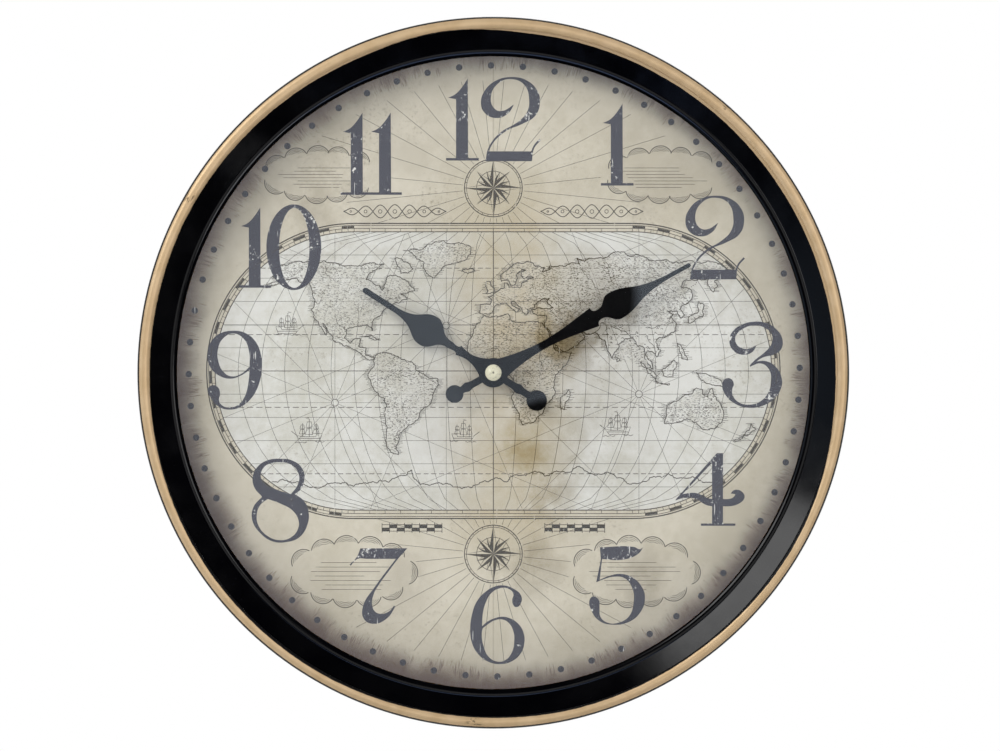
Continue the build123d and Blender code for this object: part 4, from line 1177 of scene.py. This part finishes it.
def rose_points(x, z, radius):
    """Rays of a compass rose as tip and two waist points, shortest first."""
    rays = []
    for count, waist, reach in ROSE_RAYS:
        half = math.pi / max(count, 8)
        corners = ((0, reach), (half, waist * reach), (-half, waist * reach))
        for index in range(count):
            if count > 4 and index % 2 == 0:
                continue
            angle = FULL_TURN * index / count
            rays.append([round_point(x, z, radius * share, angle + turn) for turn, share in corners])
    return rays


def rose_strokes(x, z, radius):
    """Lines of a compass rose."""
    strokes = []
    for width, share, count in ((HEAVY, 1.0, 48), (FINE, ROSE_INNER, 48), (THIN, 0.58, 36)):
        strokes.append((width, ring_points(x, z, radius * share, count)))
    for tip, right, left in rose_points(x, z, radius):
        strokes.append((THIN, [right, tip, left]))
    for index in range(ROSE_MARKS):
        angle = FULL_TURN * index / ROSE_MARKS
        strokes.append((TICK, [round_point(x, z, radius * share, angle) for share in (ROSE_INNER, 1.0)]))
    return strokes


def in_cloud(x, z):
    """True where a point is in a bank of clouds or close to it."""
    for middle_x, middle_z, half_width, half_height in CLOUD_PLACES:
        across = (x - middle_x) / (half_width + CLOUD_ROOM)
        up = (z - middle_z) / (half_height + CLOUD_ROOM)
        if math.hypot(across, up) < 1:
            return True
    return False


def ray_strokes(x, z, radius):
    """Thin rays from a rose out to the edge of the print, clear of the chart and the clouds."""
    size = sizes()
    border = oval(BORDER_OUTER, 40)
    strokes = []
    for index in range(ROSE_MARKS):
        angle = FULL_TURN * (index + 0.5) / ROSE_MARKS
        free = []
        for step in range(400):
            point = round_point(x, z, radius * 1.06 + step * 0.5, angle)
            off_print = math.hypot(point[0], point[1] - size["print_offset"]) > size["print_reach"]
            if off_print or inside(*point, border) or in_cloud(*point):
                break
            free.append(point)
        if len(free) > 1:
            strokes.append((HAIR, [free[0], free[-1]]))
    return strokes


def wind_strokes(x, z):
    """Thin wind lines across the chart from a small ring in the sea."""
    border = oval(0.0, 40)
    strokes = [(LINE, ring_points(x, z, WIND_RING, 14))]
    for index in range(WINDS):
        angle = FULL_TURN * index / WINDS
        reach = WIND_RING
        while inside(*round_point(x, z, reach + 1, angle), border):
            reach += 1
        strokes.append((0.14, [round_point(x, z, run, angle) for run in (WIND_RING, reach)]))
    return strokes


def scale_strokes(x, z, run):
    """Graduated bar in two rows of alternating blocks."""
    blocks = 8
    row_height = 1.5
    levels = [z + row * row_height for row in range(3)]
    strokes = [(LINE, [(x, level), (x + run, level)]) for level in levels]
    for index in range(blocks + 1):
        left = x + run * index / blocks
        strokes.append((LINE, [(left, z - 0.8), (left, z + 3.8)]))
        if index < blocks:
            middle = levels[0] + row_height / 2 + row_height * (index % 2)
            strokes.append((1.3, [(left, middle), (left + run / blocks, middle)]))
    return strokes


def cloud_strokes(x, z, half_width, half_height, chance):
    """Bank of engraved clouds: a scalloped edge, shading arcs inside each puff and hatching in its shade."""
    edge = [(half_width * across, half_height * up) for across, up in ring_points(0, 0, 1, 240)]
    runs = [math.dist(start, end) for start, end in zip(edge, edge[1:])]
    spacing = sum(runs) / PUFFS
    strokes = []
    travelled = 0.0
    for (px, pz), run in zip(edge, runs):
        travelled += run
        if travelled < spacing:
            continue
        travelled -= spacing
        outward = math.atan2(pz / half_height ** 2, px / half_width ** 2)
        radius = chance.uniform(0.52, 0.58) * spacing
        for share, sweep, width in PUFF_ARCS:
            turns = [outward + sweep * (step / 5 - 1) for step in range(11)]
            strokes.append((width, [round_point(x + px, z + pz, share * radius, turn) for turn in turns]))
    for row in range(7):
        level = half_height * (0.19 * row - 0.75)
        reach = half_width * math.sqrt(1 - (level / half_height) ** 2) - 2.0
        start = -reach * chance.uniform(0.55, 1.0)
        end = reach * chance.uniform(0.2, 1.0)
        strokes.append((0.2, [(x + start, z + level), (x + end, z + level)]))
    return strokes


# Lines of a small ship under sail, about its waterline amidships.
SHIP_LINES = (
    ((-1.0, 0.05), (-0.85, -0.32), (0.7, -0.32), (1.05, 0.12), (0.6, 0.02), (-0.55, 0.02), (-0.6, 0.22),
     (-1.08, 0.3), (-1.0, 0.05)),
    ((-0.9, -0.12), (0.85, -0.12)), ((1.0, 0.1), (1.5, 0.48)), ((-0.6, 0.2), (-0.6, 1.15)),
    ((0.0, 0.0), (0.0, 1.5)), ((0.55, 0.0), (0.55, 1.15)),
    ((-0.82, 0.3), (-0.72, 0.62), (-0.4, 0.62), (-0.3, 0.3), (-0.82, 0.3)),
    ((-0.76, 0.68), (-0.7, 1.0), (-0.44, 1.0), (-0.36, 0.68), (-0.76, 0.68)),
    ((-0.3, 0.2), (-0.2, 0.72), (0.2, 0.72), (0.32, 0.2), (-0.3, 0.2)),
    ((-0.24, 0.8), (-0.16, 1.26), (0.16, 1.26), (0.28, 0.8), (-0.24, 0.8)),
    ((0.36, 0.25), (0.42, 0.62), (0.72, 0.62), (0.84, 0.25), (0.36, 0.25)),
    ((0.4, 0.68), (0.45, 1.0), (0.68, 1.0), (0.78, 0.68), (0.4, 0.68)),
    ((0.0, 1.5), (0.3, 1.56), (0.0, 1.62)),
    ((-1.3, -0.36), (-1.1, -0.44), (-0.9, -0.36), (-0.7, -0.44), (-0.5, -0.36)),
    ((0.2, -0.42), (0.4, -0.5), (0.6, -0.42), (0.8, -0.5), (1.0, -0.42), (1.2, -0.5)),
)
# Ships: x, z, size and the side that they head for.
SHIP_PLACES = ((-96, 20, 5.2, 1), (-86, -30, 5.6, -1), (-14, -30, 5.0, 1), (58, -27, 5.6, -1))


def ship_strokes(x, z, size, heading):
    """Small ship under sail on a few waves."""
    return [(FINE, [(x + heading * size * px, z + size * pz) for px, pz in line]) for line in SHIP_LINES]


def plait_strokes(x, z, side):
    """Band of two plaited waves with a bead in each eye, tapering at both ends."""
    run = 48.0
    eyes = 7
    rise = 3.2
    strokes = []
    for phase in (1, -1):
        wave = []
        for step in range(eyes * 8 + 1):
            share = step / (eyes * 8)
            height = rise * math.sin(math.pi * share) ** 0.5 * math.sin(math.pi * eyes * share)
            wave.append((x + side * run * share, z + phase * height))
        strokes.append((0.4, wave))
    for eye in range(eyes):
        share = (eye + 0.5) / eyes
        bead = 0.9 * math.sin(math.pi * share) ** 0.5
        strokes.append((LINE, ring_points(x + side * run * share, z, bead, 10)))
    return strokes


class CLOCK_OT_chart(bpy.types.Operator):
    """Draws the oval chart, roses, ships, clouds, scale bars and plaited bands on the paper"""

    bl_idname = "clock.chart"
    bl_label = "Chart"

    def execute(self, context):
        size = sizes()
        chance = random.Random(11)
        ink = ink_finish("chart_ink", colours()["chart_ink"], colours()["chart_deep"], 0.6, 0.7)
        net = drawn("chart_net", graticule_strokes())
        settle(net, "case", ink)
        lands = land_outlines(chance)
        fills = [[(x, z, 1) for x, z in line[:-1]] for line in lands]
        ground = stamped("chart_lands", fills, LAND_LIFT, LAND_THICKNESS)
        settle(ground, "case", land_finish())
        coasts = drawn("chart_coasts", coast_strokes(lands, chance))
        settle(coasts, "case", ink)
        chart_top = size["print_offset"] + size["chart_half_height"]
        rose_reach = size["chart_half_height"] + size["rose_radius"] + ROSE_GAP
        ornaments = []
        blacks = []
        for side in (1, -1):
            z = size["print_offset"] + side * rose_reach
            ornaments += rose_strokes(0, z, size["rose_radius"])
            ornaments += ray_strokes(0, z, size["rose_radius"])
            for tip, right, _ in rose_points(0, z, size["rose_radius"]):
                blacks.append([(*tip, 1), (*right, 1), (0, z, 1)])
            ornaments += plait_strokes(side * PLAIT_START, chart_top + PLAIT_RISE, side)
            bar_start = side * SCALE_MIDDLE - SCALE_LENGTH / 2
            ornaments += scale_strokes(bar_start, -size["chart_half_height"] - SCALE_DROP, SCALE_LENGTH)
        for place in CLOUD_PLACES:
            ornaments += cloud_strokes(*place, chance)
        for place in SHIP_PLACES:
            ornaments += ship_strokes(*place)
        for place in WIND_PLACES:
            ornaments += wind_strokes(*place)
        lines = drawn("chart_ornaments", ornaments)
        settle(lines, "case", ink)
        rays = []
        for index, black in enumerate(blacks):
            rays.append(stamped("rose_ray", [black], RAY_LIFT + RAY_STEP * index, RAY_THICKNESS))
        settle(joined(rays, "chart_rose_rays"), "case", ink)
        return {"FINISHED"}


# Outlines of the digits, drawn on a grid; a third value marks a corner, the rest are smooth.
# The first value of each digit is the grid height of its foot and the second that of its head.
DIGITS = {
    "1": (129, 12, ((
        (39.5, 12, 1), (40, 125.5, 1), (55.3, 125.5, 1), (55.3, 129, 1), (8.5, 129, 1), (8.5, 125.5, 1),
        (22.8, 125.5, 1), (22.8, 41.5, 1), (11.5, 39.3, 1), (21, 35), (30, 26)),)),
    "2": (130, 10, ((
        (105.5, 49, 1), (97, 62), (80, 68.5), (64, 61.5), (58.3, 48), (64, 29), (80, 15), (101, 10),
        (124, 15), (139, 30), (142.5, 46), (136, 65), (117, 77), (96, 86), (78, 101), (69, 116, 1),
        (130, 116, 1), (134, 107), (141.5, 98.5, 1), (143.7, 100, 1), (134, 112), (131, 130, 1),
        (64.8, 130, 1), (69, 111), (85, 90), (111, 74), (124, 60), (127, 42), (120, 21), (101, 13),
        (83, 19), (72.5, 38), (77.5, 55), (88, 58.5)),)),
    "3": (143.2, 14.8, ((
        (66.5, 49.5, 1), (60, 60), (45, 64), (31, 57), (25.8, 43), (31, 29), (46, 18.5), (62, 14.8), (78, 16),
        (95, 25), (105, 41), (103, 56), (93, 63.5), (76, 68), (66.5, 73.8, 1), (80, 73.5), (94, 81),
        (103.5, 97), (103, 114), (91, 131), (73, 141), (55, 143.2), (36, 138), (20, 124), (15.2, 108),
        (20, 100), (28, 100), (32.5, 108), (30.2, 115), (31, 125), (40, 135), (56, 138.5), (73, 133),
        (85, 118), (88.5, 100), (83, 83), (72, 77), (62, 79.5), (57, 82, 1), (56, 80, 1), (65, 71), (79, 60),
        (88.5, 48), (89, 34), (78, 23.5), (62, 20.3), (46, 25.5), (35.5, 36), (36, 47), (44, 54),
        (56, 55)),)),
    "4": (144, 17.8, ((
        (86.5, 17.8, 1), (97.5, 17.8, 1), (97.5, 97.5, 1), (110, 97), (117, 93), (119, 89, 1), (111, 88, 1),
        (115, 83), (122, 81.2), (130, 84.5), (135, 92), (133, 99), (126, 105), (116, 109), (108, 110.2),
        (97.5, 110, 1), (97.5, 140, 1), (119, 140, 1), (119, 144, 1), (59, 144, 1), (59, 140, 1),
        (78.5, 140, 1), (78.5, 110, 1), (70, 108.5), (62, 104.5), (54, 99), (43, 95.5), (33, 95.5), (23, 97),
        (15, 100, 1), (15, 98.5, 1)), (
        (78.5, 34.5, 1), (27, 89, 1), (40, 87), (50, 87), (60, 90.5), (70, 95.5), (78.5, 97.5, 1)))),
    "5": (143.5, 18, ((
        (33, 18.5, 1), (88.5, 18), (97, 21.5), (103, 18.5, 1), (95, 29), (70, 38.5), (36.5, 37.5, 1),
        (32.5, 71, 1), (47, 65), (65, 61.5), (85, 67), (101, 83), (105.8, 101), (98, 124), (80, 139),
        (56, 143.5), (33, 138), (19, 120), (16.5, 103), (22, 98), (31, 103), (32.3, 116), (34, 131),
        (46, 140.5), (62, 140.5), (79, 131), (87.5, 108), (85, 84), (73, 68.5), (55, 66), (41, 69.5),
        (27, 75, 1), (34.5, 38, 1)),)),
    "6": (145.3, 15.5, ((
        (70, 15.5), (88, 21), (101, 33), (100, 46), (93, 51.5), (88, 48), (86.2, 40), (88, 29), (78, 20.5),
        (66, 20.3), (52, 28), (43, 43), (38, 60), (36.5, 83, 1), (46, 75), (58, 69.5), (70, 67.3), (84, 70.5),
        (98, 81), (105.5, 96), (106, 112), (100, 128), (86, 140.5), (68, 145.3), (48, 142), (31, 130),
        (20, 111), (17, 88), (20, 63), (28.5, 41), (43, 25.5), (56, 18)), (
        (37.5, 86.5, 1), (47, 79), (58, 73), (70, 71.8), (81, 78), (88, 91), (89.5, 107), (86, 125),
        (76, 138), (62, 141.2), (48, 134), (39, 116), (36, 95)))),
    "7": (141.5, 16.8, ((
        (33.5, 17, 1), (111, 16.8, 1), (95, 35), (80, 55), (66, 74), (55, 94), (53.5, 114), (62, 124),
        (80, 121.5), (89, 111.5, 1), (91.2, 113, 1), (78, 132), (54, 141.5), (39, 133), (38, 112), (57, 81),
        (92, 34.3, 1), (45, 34.3), (28.5, 34.5), (17.5, 45.5, 1), (15.5, 44, 1), (27, 32)),)),
    "8": (144.5, 13.5, ((
        (60, 13.5), (80, 16.5), (95, 29), (98.5, 43), (92, 62), (83, 69, 1), (96, 78), (104.5, 95),
        (103, 117), (90, 137), (70, 144.2), (48, 143), (28, 129), (16.5, 110), (18, 90), (32, 73, 1),
        (20, 59), (17, 44), (24, 27), (40, 16)), (
        (59, 19), (78, 23), (89.5, 38), (88, 54), (77, 69, 1), (55, 62), (37, 53), (29.8, 42), (35, 26.5),
        (46, 20.5)), (
        (41, 76.5, 1), (62, 84.5), (80, 95), (89, 110), (88, 124), (77, 137), (60, 141.2), (41, 135),
        (26.5, 119), (23.5, 102), (29, 86)))),
    "9": (144.8, 14.5, ((
        (60, 14.5), (80, 18.5), (96, 32), (105, 53), (106.8, 76), (102, 102), (90, 125), (72, 140),
        (54, 144.6), (36, 140), (22, 124), (18, 111), (24, 104.5), (34, 107.5), (37.8, 118), (36, 129),
        (41, 137.5), (54, 141), (68, 136.5), (79, 122), (84.5, 100), (86.5, 79, 1), (73, 88), (56, 93.5),
        (38, 89.5), (22, 75), (16.8, 55), (21, 36), (36, 20)), (
        (60, 19), (77, 28), (85.5, 48), (86.5, 74, 1), (72, 86), (56, 89.7), (43, 82), (35, 65), (34, 47),
        (42, 28)))),
    "0": (147.4, 13, (
        [(101.5 + 43 * across, 80.2 + 67.2 * up) for across, up in ring_points(0, 0, 1, 24)[:-1]],
        [(102.2 + 23.8 * across, 81.3 + 62.7 * up) for across, up in ring_points(0, 0, 1, 24)[:-1]])),
}
# Each printed digit: its sign, left edge, foot and height on the dial, in millimetres.
NUMERALS = (
    ("1", -22.1, 99.1, 38.3), ("2", -5.8, 98.8, 39.3), ("1", 50.2, 87.4, 38.2), ("2", 89.7, 43.6, 39.1),
    ("3", 106.9, -16.4, 40.2), ("4", 85.1, -71.5, 33.9), ("5", 45.0, -117.7, 36.3),
    ("6", -10.8, -136.1, 36.8), ("7", -67.2, -117.3, 35.3), ("8", -112.6, -79.2, 39.0),
    ("9", -133.6, -17.3, 36.9), ("1", -118.8, 39.7, 37.5), ("0", -106.0, 38.6, 40.0),
    ("1", -71.3, 83.1, 38.4), ("1", -58.1, 83.1, 38.4),
)
# Lift of the numerals and dots and the step between neighbours, in millimetres; the dots' turn in degrees
# and their shift to the right in millimetres.
NUMERAL_LIFT = 0.03
NUMERAL_STEP = 0.002
DOT_TURN = -0.6
DOT_SHIFT = 0.4


def digit_outlines(sign, left, foot, height):
    """Outlines of one digit at its place on the dial."""
    base, head, outlines = DIGITS[sign]
    unit = height / (base - head)
    start = min(point[0] for point in outlines[0])
    return [
        [(left + (x - start) * unit, foot + (base - z) * unit, *corner) for x, z, *corner in outline]
        for outline in outlines
    ]


class CLOCK_OT_numerals(bpy.types.Operator):
    """Prints the hour numerals and the ring of minute dots"""

    bl_idname = "clock.numerals"
    bl_label = "Numerals"

    def execute(self, context):
        size = sizes()
        dark = colours()["numeral_ink"]
        pale = colours()["chart_pale"]
        ink = ink_finish("numeral_ink", dark, pale, 0.58, 0.61, 0.85)
        digits = []
        for index, place in enumerate(NUMERALS):
            lift = NUMERAL_LIFT + NUMERAL_STEP * (index % 4)
            digits.append(stamped("digit", digit_outlines(*place), lift))
        settle(joined(digits, "hour_numerals"), "case", ink)
        dots = []
        for index in range(60):
            angle = math.radians(6 * index + DOT_TURN)
            x = DOT_SHIFT + size["dot_ring"] * math.sin(angle)
            z = size["print_offset"] + size["dot_ring"] * math.cos(angle)
            dots.append(ring_points(x, z, size["dot_width"] / 2, 10)[:-1])
        dot_ink = ink_finish("dot_ink", colours()["dot_ink"], pale, 0.66, 0.72)
        settle(stamped("minute_dots", dots, NUMERAL_LIFT), "case", dot_ink)
        return {"FINISHED"}


class CLOCK_OT_hands(bpy.types.Operator):
    """Lacquers the hands and turns the pale cap nut with its dimple"""

    bl_idname = "clock.hands"
    bl_label = "Hands"

    def execute(self, context):
        size = sizes()
        paint = colours()
        pale = tuple(2.0 * value + 0.0008 for value in paint["hand_black"])
        lacquer = plain_finish("hand_black", paint["hand_black"], pale, (0.32, 0.46), 900.0, 0.006, 0.0, 0.05)
        dress(lacquer, "hour_hand", "minute_hand")
        dress(stock_finish("brass"), "hour_collet")
        radius = reach_of("hand_nut")
        front = front_of("hand_nut")
        foot = back_of("hand_nut")
        edge = foot + size["cap_edge"]
        bore = reach_of("minute_shaft") * 0.4
        bore_end = foot + 1.2
        dimple = size["cap_dimple"]
        rise = front - edge
        dome_radius = (radius ** 2 + rise ** 2) / (2 * rise)
        half = math.asin(radius / dome_radius) / 2
        crest = (dome_radius * math.sin(half), front - dome_radius * (1 - math.cos(half)))
        dome = arc_through((radius, edge), crest, (0.0, front), DOME_STEPS)
        kept = [point for point in dome if point[0] > 1.6 * dimple]
        top = kept[-1][1]
        outline = kept + [
            (1.25 * dimple, top + 0.03), (dimple, top - 0.05), (0.5 * dimple, top - 0.3), (0.0, top - 0.4),
            (0.0, bore_end), (bore, bore_end), (bore, foot), (radius - 0.2, foot), (radius, foot + 0.2),
        ]
        cap = turned("hand_nut_cap", outline, CAP_STEPS)
        settle(cap, "minute", cap_finish(), ["hand_nut"])
        return {"FINISHED"}


# Nodes inside the movement and on its fixing that are shown as they are.
INNER_NODES = (
    "centre_bush", "hex_nut", "brass_washer", "rubber_washer", "stud_clip", "train_plate", "hour_wheel",
    "minute_shaft", "clutch_washer", "reverser_wheel", "centre_wheel", "third_wheel", "second_wheel",
    "intermediate_wheel", "rotor_pinion", "rotor_magnet", "stator", "coil_core", "coil_bobbin",
    "coil_winding", "circuit_board", "quartz_crystal", "chip_cover", "contact_plus", "contact_minus",
)


class CLOCK_OT_movement(bpy.types.Operator):
    """Moulds the movement's box, lid and knob and finishes the train, motor and fixing"""

    bl_idname = "clock.movement"
    bl_label = "Movement"

    def execute(self, context):
        for node, rounding in (("movement_frame", 0.3), ("movement_lid", 0.25)):
            settle(softened(node, rounding), BODIES[node], shell_black(), [node])
        knob = stock_finish("black_knob")
        settle(softened("setting_knob", 0.2), "setting", knob, ["setting_knob"])
        made = {"matte_black": shell_black, "copper_wire": winding_finish}
        for node in INNER_NODES:
            slot = SLOTS[node]
            dress(made[slot]() if slot in made else stock_finish(slot), node)
        return {"FINISHED"}


class CLOCK_OT_battery(bpy.types.Operator):
    """Turns the battery with its crimped ends and wraps it in a plain jacket"""

    bl_idname = "clock.battery"
    bl_label = "Battery"

    def execute(self, context):
        low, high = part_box("battery")
        radius = (high.z - low.z) / 2 / MM
        run = (high.x - low.x) / MM
        nub = 2.75
        nub_rise = 1.0
        body = run - nub_rise
        outline = [
            (0.0, 0.25), (radius - 2.4, 0.25), (radius - 2.1, 0.0), (radius - 0.5, 0.0), (radius - 0.12, 0.2),
            (radius, 0.6), (radius, body - 0.6), (radius - 0.12, body - 0.2), (radius - 0.5, body),
            (radius - 1.2, body), (radius - 1.5, body - 0.25), (nub + 0.3, body - 0.25), (nub, body),
            (nub, run - 0.3), (nub - 0.3, run), (0.0, run),
        ]
        cell = turned("battery_cell", outline, CELL_STEPS)
        cell.rotation_euler = (0, 0, math.pi / 2)
        cell.location = (low.x, (low.y + high.y) / 2, (low.z + high.z) / 2)
        bpy.ops.object.transform_apply(location=True, rotation=True, scale=True)
        settle(cell, "cell", jacket_finish(), ["battery"])
        return {"FINISHED"}


# Stage sizes and places in metres, the sensor in millimetres.
CAMERA_REACH = 2.5
CAMERA_PLACE = (0.0031, -0.00131)
VIEW_WIDTH = 0.463
SENSOR = 36.0
FLOOR_RADIUS = 0.75
FLOOR_DROP = 0.085
DRUM_RADIUS = 2.2
DRUM_DEPTH = 2.6
DRUM_MIDDLE = -1.35
DRUM_FRONT = DRUM_MIDDLE - DRUM_DEPTH / 2
DRUM_REAR = DRUM_MIDDLE + DRUM_DEPTH / 2
RIM_ROOM = 0.05
DRUM_SKIRT = 0.7
SKIRT_FOOT = -0.3
DRUM_MOUTH = 0.27
CARD_WIDTH = 0.5
CARD_PLACE = -2.45
ROOM_LIGHT = 0.72
# Soft lamps: name, place, width and watts.
LAMPS = (
    ("key_lamp", (-1.2, -1.2, 0.945), 0.86, 12),
    ("front_lamp", (1.35, -2.4, 0.45), 1.0, 10),
    ("rear_lamp", (0.5, 2.0, 1.0), 1.5, 16),
)
# Lamps that only gloss shows: name, place, width, height, watts and colour.
GLOWS = (
    ("left_glow", (-1.65, -0.9, -0.45), 1.0, 2.4, 5.0, (0.62, 0.78, 1.0)),
    ("low_glow", (-0.1, -2.0, -1.2), 1.9, 0.8, 14.0, (0.42, 0.58, 1.0)),
    ("corner_glow", (1.05, -2.0, -0.85), 0.7, 0.7, 7.5, (0.96, 0.97, 1.0)),
)
# Dark spots of the cards: x, z, inner and outer radius in millimetres, and depth.
DARK_SPOTS = (
    (81, 68.6, 40, 54, 1.0), (57.8, 35.5, 20, 26, 1.0), (44, -58, 30, 42, 1.0), (10.4, 5.6, 22, 62, 0.42),
)


class CLOCK_OT_stage(bpy.types.Operator):
    """Sets the pale floor, soft lamps, white surroundings and the camera"""

    bl_idname = "clock.stage"
    bl_label = "Stage"

    def execute(self, context):
        deselect()
        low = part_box("gold_rim")[0]
        bpy.ops.mesh.primitive_circle_add(
            vertices=96, radius=FLOOR_RADIUS, fill_type="NGON", location=(0, 0, low.z - FLOOR_DROP))
        floor = bpy.context.object
        floor.name = "floor"
        bpy.ops.object.transform_apply(location=True, rotation=True, scale=True)
        floor.data.materials.append(stock_finish("floor_pale"))
        floor.visible_glossy = False
        for lamp in LAMPS:
            self.lamp(*lamp)
        for name, place, width, height, watts, colour in GLOWS:
            glow = self.lamp(name, place, width, watts)
            glow.data.shape = "RECTANGLE"
            glow.data.size_y = height
            glow.data.color = colour
            glow.visible_diffuse = False
        # The low glow lights the black ring alone.
        ring_only = bpy.data.collections.new("ring_only")
        ring_only.objects.link(bpy.data.objects["bezel_ring"])
        bpy.data.objects["low_glow"].light_linking.receiver_collection = ring_only
        self.flag()
        self.surroundings(context.scene)
        bpy.ops.object.camera_add(
            location=(CAMERA_PLACE[0], low.y - CAMERA_REACH, CAMERA_PLACE[1]), rotation=(math.pi / 2, 0, 0))
        camera = bpy.context.object
        camera.name = "front_camera"
        camera.data.sensor_width = SENSOR
        camera.data.lens = SENSOR * CAMERA_REACH / VIEW_WIDTH
        context.scene.camera = camera
        context.scene.view_settings.view_transform = "Standard"
        return {"FINISHED"}

    def lamp(self, name, place, width, watts):
        """Soft square lamp that looks at the clock."""
        bpy.ops.object.light_add(type="AREA", location=place)
        lamp = bpy.context.object
        lamp.name = name
        lamp.data.size = width
        lamp.data.energy = watts
        reach = math.hypot(place[0], place[1])
        lamp.rotation_euler = (math.atan2(reach, place[2]), 0, math.atan2(place[0], -place[1]))
        return lamp

    def flag(self):
        """Dark drum and cards round the line of sight, seen only in glossy surfaces: black stays black."""
        bpy.ops.mesh.primitive_cylinder_add(
            vertices=64, radius=DRUM_RADIUS, depth=DRUM_DEPTH, end_fill_type="NOTHING",
            location=(0, DRUM_MIDDLE, 0), rotation=(math.pi / 2, 0, 0))
        drum = bpy.context.object
        drum.name = "flag_drum"
        bpy.ops.object.transform_apply(location=True, rotation=True, scale=True)
        bpy.ops.object.mode_set(mode="EDIT")
        bpy.ops.mesh.select_all(action="DESELECT")
        bpy.ops.object.mode_set(mode="OBJECT")
        for edge in drum.data.edges:
            ends = [drum.data.vertices[index].co for index in edge.vertices]
            edge.select = all(end.y > DRUM_REAR - RIM_ROOM and end.z > SKIRT_FOOT for end in ends)
        bpy.ops.object.mode_set(mode="EDIT")
        bpy.ops.mesh.select_mode(type="EDGE")
        bpy.ops.mesh.extrude_region_move(TRANSFORM_OT_translate={"value": (0, DRUM_SKIRT, 0)})
        bpy.ops.mesh.select_all(action="DESELECT")
        bpy.ops.object.mode_set(mode="OBJECT")
        for edge in drum.data.edges:
            ends = [drum.data.vertices[index].co for index in edge.vertices]
            edge.select = all(end.y < DRUM_FRONT + RIM_ROOM for end in ends)
        bpy.ops.object.mode_set(mode="EDIT")
        bpy.ops.mesh.extrude_region_move(TRANSFORM_OT_translate={"value": (0, 0, 0)})
        bpy.ops.transform.resize(value=(DRUM_MOUTH, 1, DRUM_MOUTH), center_override=(0, DRUM_FRONT, 0))
        bpy.ops.object.mode_set(mode="OBJECT")
        drum.data.materials.append(stock_finish("flag_cloth"))
        bpy.ops.mesh.primitive_plane_add(
            size=CARD_WIDTH, location=(0, CARD_PLACE, 0), rotation=(math.pi / 2, 0, 0))
        cards = bpy.context.object
        cards.name = "flag_cards"
        bpy.ops.object.transform_apply(location=True, rotation=True, scale=True)
        cards.data.materials.append(self.card_finish())
        for hidden in (drum, cards):
            hidden.visible_camera = False
            hidden.visible_diffuse = False
            hidden.visible_shadow = False

    def card_finish(self):
        """Soft-edged dark spots on an otherwise clear sheet."""
        material, tree, shader, place = new_finish("flag_spots")
        mask = 0.0
        for x, z, inner, outer, depth in DARK_SPOTS:
            distance = distance_to(tree, place, (x, CARD_PLACE / MM, z))
            spot = times(tree, span(tree, distance, outer * MM, inner * MM), depth)
            mask = larger(tree, spot, mask)
        plug(tree, shader.inputs["Base Color"], (0.005, 0.005, 0.006))
        plug(tree, shader.inputs["Roughness"], 1.0)
        shader.inputs["Specular IOR Level"].default_value = 0.0
        clear = tree.nodes.new("ShaderNodeBsdfTransparent").outputs[0]
        mixed = node_in(tree, "ShaderNodeMixShader", {0: mask, 1: clear, 2: shader.outputs[0]})
        tree.links.new(mixed.outputs[0], tree.nodes["Material Output"].inputs["Surface"])
        return material

    def surroundings(self, scene):
        """White background, with a gentler level of light from it."""
        world = bpy.data.worlds.new("white_room")
        scene.world = world
        world.use_nodes = True
        world.cycles.sampling_method = "NONE"
        tree = world.node_tree
        tree.nodes.clear()
        rays = tree.nodes.new("ShaderNodeLightPath").outputs
        mirrored = larger(tree, rays["Is Glossy Ray"], rays["Is Transmission Ray"])
        seen = larger(tree, rays["Is Camera Ray"], mirrored)
        soft = node_in(tree, "ShaderNodeBackground", {"Color": (1.0, 1.0, 1.0), "Strength": ROOM_LIGHT})
        white = node_in(tree, "ShaderNodeBackground", {"Color": (1.0, 1.0, 1.0), "Strength": 1.0})
        mixed = node_in(tree, "ShaderNodeMixShader", {0: seen, 1: soft.outputs[0], 2: white.outputs[0]})
        target = tree.nodes.new("ShaderNodeOutputWorld")
        tree.links.new(mixed.outputs[0], target.inputs["Surface"])


MAKERS = (
    CLOCK_OT_case, CLOCK_OT_dial, CLOCK_OT_chart, CLOCK_OT_numerals, CLOCK_OT_hands, CLOCK_OT_movement,
    CLOCK_OT_battery, CLOCK_OT_stage,
)


class CLOCK_PT_panel(bpy.types.Panel):
    """Lists the pieces, sizes and colours of the clock"""

    bl_idname = "CLOCK_PT_panel"
    bl_label = "Clock"
    bl_space_type = "VIEW_3D"
    bl_region_type = "UI"
    bl_category = "Clock"

    def draw(self, context):
        for maker in MAKERS:
            self.layout.operator(maker.bl_idname)
        for group in (context.scene.clock_sizes, context.scene.clock_colours):
            for key in group.__annotations__:
                self.layout.prop(group, key)


CLASSES = (ClockSizes, ClockColours, *MAKERS, CLOCK_PT_panel)


def register():
    """Adds the classes and the scene's groups of sizes and colours."""
    for entry in CLASSES:
        bpy.utils.register_class(entry)
    bpy.types.Scene.clock_sizes = bpy.props.PointerProperty(type=ClockSizes)
    bpy.types.Scene.clock_colours = bpy.props.PointerProperty(type=ClockColours)


def unregister():
    """Takes away what register added."""
    del bpy.types.Scene.clock_sizes
    del bpy.types.Scene.clock_colours
    for entry in reversed(CLASSES):
        bpy.utils.unregister_class(entry)


def main():
    register()
    bpy.ops.clock.case()
    bpy.ops.clock.dial()
    bpy.ops.clock.chart()
    bpy.ops.clock.numerals()
    bpy.ops.clock.hands()
    bpy.ops.clock.movement()
    bpy.ops.clock.battery()
    bpy.ops.clock.stage()


if __name__ == "__main__":
    main()
